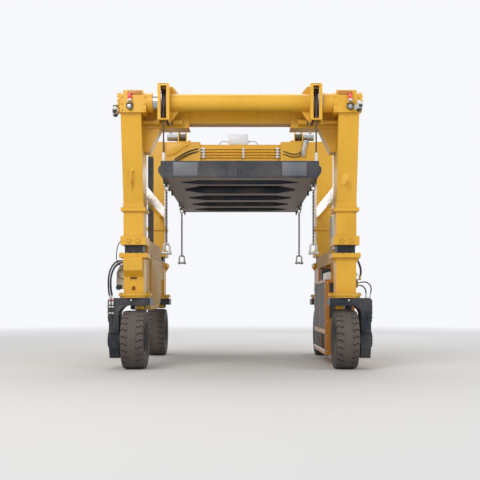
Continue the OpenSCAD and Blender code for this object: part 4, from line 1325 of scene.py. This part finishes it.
for index, points in enumerate(SLEEVE_HOSES):
    route = corner_points(points, "left", "rear")
    name = f"sleeve_hose_{index + 1}"
    near, far = hose(name, route, SLEEVE_HOSE, "crossbeams", "left_frame")
    seats.append(near)
    far_seats.append(far)
crimps("cross_crimps_crossbeams", seats, zinc, "crossbeams")
crimps("cross_crimps_left_frame", far_seats, zinc, "left_frame")
caps = []
for z in (PIPE_LEVELS[0], PIPE_LEVELS[3]):
    for side in SIDES:
        cap = rod((0.985, -1.770, z), 0.019, 0.05, "x", 6, ("out", 0.005, 0.02), edge=0.002)
        caps.append(copies(cap, [CORNERS[side, "rear"]], "cap"))
dress(join(caps, "pipe_caps"), brass, "crossbeams")
print(len(hose_lengths), "hoses so far")

# %% [markdown]
# ## Small fittings
#
# What is left on the frames is small: the plate with the sleeve's lug, the strap that
# holds the hoist hoses, the glands of the width cylinders, a lever and a plate on the
# front legs, the white cheeks inside the sheave housings, a dark plate of painted shade
# at the back of each housing, and an orange plate of painted shade on the front of each
# head tray. Each is modelled at the front right corner and mirrored to where it belongs.

# %% Lug plate, hose strap and cylinder glands
lug = outline_plate([(1.84, 5.28), (1.25, 5.28), (1.62, 5.02), (1.84, 4.96)],
                    lambda x, z: (x, -1.726, z), (0, -0.024, 0), edge=0.003)
dress(copies(lug, [CORNERS["left", "rear"]], "lug_plate"), yellow_paint, "left_frame")
STRAP = [(1.57, 5.30), (1.66, 5.30), (1.615, 5.12), (1.60, 4.95), (1.52, 4.95), (1.53, 5.13)]
strap = outline_plate(STRAP, lambda x, z: (x, -1.692, z), (0, 0.010, 0), edge=0.003)
foot = box((1.572, -1.802, 5.292), (1.658, -1.682, 5.345), ("up", 0.010, 0.006), edge=0.003)
strap = copies(join([strap, foot], "strap"), [CORNERS["right", "rear"]], "hose_strap")
dress(strap, cast_silver, "crossbeams")
gland = rod((1.375, -2.215, 4.860), 0.0585, 0.13, "x", 40, ("in", 0.004, 0.012), edge=0.002)
port = rod((1.35, -2.215, 4.925), 0.016, 0.03, "z", 6, ("up", 0.003, 0.02), edge=0.002)
glands = copies(join([gland, port], "gland"), ALL_CORNERS, "cylinder_glands")
dress(glands, door_taupe, "crossbeams")
print("glands of the width cylinders:", len(ALL_CORNERS))


# %% Lever and plate on the front legs
def leg_front(z):
    """Y of the leaning front of an upper leg."""
    return -2.259 - 0.2133 * (z - 3.6)


LEVER = [(-2.105, -2.320857, 3.890), (-2.110, -2.368724, 3.872), (-2.122, -2.353128, 3.760),
         (-2.124, -2.326798, 3.655), (-2.120, -2.259, 3.605)]
lever = tube("lever", smooth_line(LEVER, 20), 0.028)
for x, z in ((-2.105, 3.890), (-2.120, 3.605)):
    seat = rod((x, leg_front(z) - 0.004, z), 0.034, 0.016, "y", 20, ("front", 0.006, 0.006))
    lever = join([lever, seat], "leg_lever")
dress(lever, glossy_yellow, "left_frame")
patch = outline_plate([(1.970, 3.800), (2.112, 3.866), (2.132, 3.668), (1.990, 3.602)],
                      lambda x, z: (x, leg_front(z) + 0.001, z), (0, -0.012, 0), edge=0.003, name="leg_plate")
dress(patch, glossy_yellow, "right_frame")
print("legs done")

# %% Housing cheeks, and painted shade in the sheave housings and on the head trays
# A dark plate at the back of each housing's opening paints the shade inside the housing
back = box((1.376, -2.405, 5.368), (1.529, -2.395, 5.470), ("front", 0.010, -0.003), edge=0.001)
dress(copies(back, ALL_CORNERS, "housing_painted_shade"), greased_iron, "crossbeams")
cheek = box((1.3915, -2.705, 4.815), (1.3995, -2.680, 5.400), ("front", 0.002, 0.003), edge=0.001)
cheek_places = [CORNERS[side, "front"] @ at(x=x) for side in SIDES for x in (0, 0.114)]
cheeks = copies(cheek, cheek_places, "housing_cheeks")
dress(cheeks, signal_white, "crossbeams")
# A darker orange plate on the front of each head tray paints the shade in the tray's recess
tray_shade = box((1.885, -2.6125, 5.300), (2.145, -2.6098, 5.366), ("front", 0.006, 0.0015), edge=0.001)
at_both_ends(tray_shade, "tray_painted_shade", "frame", pack_orange)
print("housings and trays done")

# %% [markdown]
# ## Hoist ropes
#
# Each fall is a wire rope of six strands laid round each other. The strands are drawn
# as six thin tubes on screws, because at this size their lay shows in the rope's edge
# as well as in its shine. The falls hang from the sheaves and ride on no body.

# %% Laid strands
ROPE_X, ROPE_Y, ROPE_LOW, ROPE_TOP, LAY = 1.4525, -2.675, 4.160, 5.122, 0.20
STRANDS, SCREW_R, STRAND, SCREW_STEPS = 6, 0.0105, 0.0112, 66
strands = []
for strand in range(STRANDS):
    screw = []
    for step in range(SCREW_STEPS + 1):
        drop = (ROPE_TOP - ROPE_LOW) * step / SCREW_STEPS
        turn = 2 * math.pi * (strand / STRANDS + drop / LAY)
        screw.append((ROPE_X + SCREW_R * math.cos(turn), ROPE_Y + SCREW_R * math.sin(turn), ROPE_TOP - drop))
    strands.append(tube("strand", screw, STRAND))
falls = wear_finish(copies(join(strands, "fall"), ALL_CORNERS, "hoist_falls"), rope_steel)
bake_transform(falls)
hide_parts("rope_falls")
print("faces in the falls:", len(falls.data.polygons))

# %% [markdown]
# ## What the hoses plug into
#
# Every hose needs a seat. On each column's outer face sits a cream plate that carries
# the valve block and the slewing motor, and the left forks carry two clamped lines down
# the front. These are small castings and bent plates, rounded so that their edges
# catch the light.

# %% Cream plates and slewing motors
cream_paint = paint("cream_paint", (0.52, 0.46, 0.36), rough=0.4, dust=0.3, edge=0.003)
COLUMN_FACE = 2.2926
PLATE_OUTLINE = [(COLUMN_FACE, 1.585), (2.400, 1.585), (2.455, 1.640), (2.470, 1.720), (2.462, 1.930),
                 (2.405, 2.045), (2.340, 2.075), (COLUMN_FACE, 2.075)]
cream_plate = outline_plate(PLATE_OUTLINE, lambda x, z: (x, -1.975, z), (0, 0.016, 0),
                            ("front", 0.018, -0.003), edge=0.003)
at_both_ends(cream_plate, "cream_plates", "lower", cream_paint, ["left"])
motor = rod((2.415, -2.035, 1.615), 0.046, 0.110, "y", 28,
            ("front", 0.012, 0.014), ("front", 0.012, -0.006), edge=0.003)
flange = box((2.358, -1.990, 1.590), (2.466, -1.9752, 1.672), edge=0.004)
at_both_ends(join([motor, flange], "motor"), "slew_motors", "lower", matt_black, ["left"])
LOOP_HOSE = [(2.312, -1.995, 1.970), (2.366, -2.002, 1.970), (2.424, -2.010, 1.925), (2.434, -2.012, 1.868),
             (2.400, -2.010, 1.818), (2.352, -2.004, 1.800), (2.305, -1.998, 1.800)]
for end in ENDS:
    hose("loop_hose_left_" + end, corner_points(LOOP_HOSE, "left", end), 0.013, "left_lower")
print(len(hose_lengths), "hoses in all")

# %% Valve blocks on the right columns
block = box((COLUMN_FACE, -2.125, 1.610), (2.312, -1.985, 1.775),
            ("out", 0.012, 0.006), ("front", 0.020, 0.004), edge=0.003)
top = box((COLUMN_FACE, -2.110, 1.7752), (2.400, -2.000, 1.787), edge=0.002)
solenoids = [
    rod((2.3150, -2.145, z), 0.017, 0.040, "y", 20, ("front", 0.005, 0.010), edge=0.002, segments=1)
    for z in (1.650, 1.700, 1.745)
]
block = join([block, top] + solenoids, "block")
at_both_ends(block, "valve_blocks", "lower", greased_iron, ["right"])
sensor = box((COLUMN_FACE, -2.150, 1.835), (2.345, -2.100, 1.895), ("up", 0.008, 0.012), edge=0.006)
at_both_ends(sensor, "sensors", "lower", signal_white, ["right"])
print("valve blocks done")

# %% Clamped lines down the left forks
line_parts, clamp_parts, band_parts = [], [], []
for x in (2.502, 2.560):
    line_parts.append(rod((x, -2.2035, 1.230), 0.0125, 0.250, "z", 16, ("down", 0.003, 0.003)))
    for z in (1.110, 1.235):
        clamp_parts.append(box((x - 0.022, -2.2185, z - 0.014), (x + 0.022, -2.1902, z + 0.014),
                               ("front", 0.008, 0.004), edge=0.004))
    clamp_parts.append(rod((x, -2.2060, 1.315), 0.0185, 0.070, "z", 24,
                           ("down", 0.004, 0.010), edge=0.002, segments=1))
    band_parts.append(rod((x, -2.2120, 1.3745), 0.0235, 0.024, "z", 24,
                          ("up", 0.004, 0.003), edge=0.002, segments=1))
line_parts.append(box((2.486, -2.1950, 1.100), (2.576, -2.1903, 1.400),
                      ("front", 0.006, -0.002), edge=0.001, segments=1))
FORK_LINES = (
    ("fork_lines", line_parts, matt_black, "chain_black"),
    ("fork_line_clamps", clamp_parts, signal_white, "box_white"),
    ("fork_line_bands", band_parts, beacon_red, "lamp_parts"),
)
for end in ENDS:
    for name, parts, material, slot_name in FORK_LINES:
        made = join([copy_of(part, CORNERS["left", end]) for part in parts], f"{name}_left_{end}")
        dress(made, material, "fork_left_" + end)
for part in line_parts + clamp_parts + band_parts:
    bpy.data.objects.remove(part)
print("hose seats done")

# %% [markdown]
# ## Cameras on the heads
#
# A white camera hangs on a bracket at the outer side of both front heads. Its housing
# is a drum closed by a dome, made by insetting and pushing the end faces several times.

# %% Head cameras
shell = rod((0, 0, 0), 0.052, 0.130, "y", 32,
            ("back", 0.006, 0.010), ("back", 0.010, 0.008), ("back", 0.014, 0.005),
            ("front", 0.006, 0.004), ("front", 0.006, -0.018), edge=0.003)
hood = box((-0.050, -0.095, 0.030), (0.050, -0.030, 0.060), ("front", 0.006, -0.004), edge=0.005)
foot = box((-0.030, -0.030, 0.045), (0.030, 0.030, 0.110), ("up", 0.008, 0.010), edge=0.004)
unit = join([shell, hood, foot], "camera_unit")
eye = rod((0, -0.060, 0), 0.037, 0.020, "y", 28, ("front", 0.010, 0.006), edge=0.002)
skirt = box((-0.034, -0.055, -0.085), (0.034, 0.035, -0.048), ("down", 0.008, 0.006), edge=0.006)
eye = join([eye, skirt], "camera_eye")
CAMERAS = {
    "left": (at(-2.420, -2.380, 5.020), (-2.460, -2.405, 5.112), (-2.2972, -2.355, 5.150)),
    "right": (at(2.262, -2.700, 5.045) @ Matrix.Rotation(math.radians(18), 4, "Z"),
              (2.245, -2.700, 5.136), (2.285, -2.6102, 5.170)),
}
for side, (matrix, arm_low, arm_high) in CAMERAS.items():
    body = side + "_frame"
    arm = box(arm_low, arm_high, ("up", 0.006, 0.004), edge=0.004, name=side + "_camera_arm")
    dress(copy_of(unit, matrix, side + "_head_camera"), signal_white, body)
    dress(copy_of(eye, matrix, side + "_camera_eye"), matt_black, body)
    dress(arm, matt_black, body)
bpy.data.objects.remove(unit)
bpy.data.objects.remove(eye)
print("cameras done")

# %% [markdown]
# ## Studio
#
# A pale floor and a pale world, with large soft lamps, show the paint at its own
# brightness. The world looks white only to the camera and to reflections. What it
# lights the machine with is a softer grey, so that pale parts don't clip.

# %% Floor
BACKDROP = (0.95, 0.96, 0.99)
SEEN_STRENGTH = 0.98
bpy.ops.mesh.primitive_plane_add(size=240, location=(0, 40, 0))
floor = settle("floor")
floor_material = bpy.data.materials.new("pale_floor")
floor_material.use_nodes = True
floor_tree = floor_material.node_tree
floor_shader = floor_tree.nodes["Principled BSDF"]
floor_shader.inputs["Roughness"].default_value = 0.7
floor_shader.inputs["Specular IOR Level"].default_value = 0.0
ground = node_in(floor_tree, "ShaderNodeTexCoord").outputs["Object"]
reach = node_in(floor_tree, "ShaderNodeVectorMath", operation="LENGTH")
floor_tree.links.new(ground, reach.inputs[0])
far = remap(floor_tree, reach.outputs["Value"], 5, 26)
near_colour = mixed(floor_tree, far, (0.66, 0.65, 0.63), (0.0, 0.0, 0.0))
floor_tree.links.new(near_colour, floor_shader.inputs["Base Color"])
floor_shader.inputs["Emission Color"].default_value = (*BACKDROP, 1)
floor_tree.links.new(remap(floor_tree, far, 0, 1, 0.0, SEEN_STRENGTH), floor_shader.inputs["Emission Strength"])
wear_finish(floor, floor_material)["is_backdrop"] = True
print("floor laid")

# %% World
world = bpy.data.worlds.new("studio")
bpy.context.scene.world = world
world.use_nodes = True
sky = world.node_tree
background = sky.nodes["Background"]
background.inputs["Color"].default_value = (*BACKDROP, 1)
seen = node_in(sky, "ShaderNodeLightPath")
seen_any = math_node(sky, "MAXIMUM", seen.outputs["Is Camera Ray"], seen.outputs["Is Glossy Ray"])
sky.links.new(remap(sky, seen_any, 0, 1, 0.52, SEEN_STRENGTH), background.inputs["Strength"])
print("world", world.name)


# %% Lamps
def soft_lamp(name, place, aim, size, power, colour=(1, 1, 1)):
    data = bpy.data.lights.new(name, "AREA")
    data.shape = "RECTANGLE"
    data.size, data.size_y = size
    data.energy = power
    data.color = colour
    lamp = bpy.data.objects.new(name, data)
    lamp.location = place
    lamp.rotation_euler = (Vector(aim) - Vector(place)).to_track_quat("-Z", "Y").to_euler()
    bpy.context.scene.collection.objects.link(lamp)
    return lamp


soft_lamp("key", (-7, -13, 12), (0, 0, 3), (9, 7), 1300, (1.0, 0.98, 0.95))
soft_lamp("fill", (11, -9, 7), (0, 0, 2.5), (8, 8), 430, (0.95, 0.97, 1.0))
soft_lamp("top", (0, 3, 14), (0, 0, 3), (10, 8), 700)
soft_lamp("back", (4, 14, 8), (0, 0, 3), (9, 6), 420)

# %% Colours as written
bpy.context.scene.view_settings.view_transform = "Standard"
print("studio ready")

# %% [markdown]
# ## Measure and finish
#
# The dressed machine must stay as large as the CAD says.

# %% Sizes and the last check
dressed_box = [list(corner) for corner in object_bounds()]
growth = [round(d - c, 4) for cad, new in zip(cad_box, dressed_box) for c, d in zip(cad, new)]
print("growth of the box, low then high:", growth)
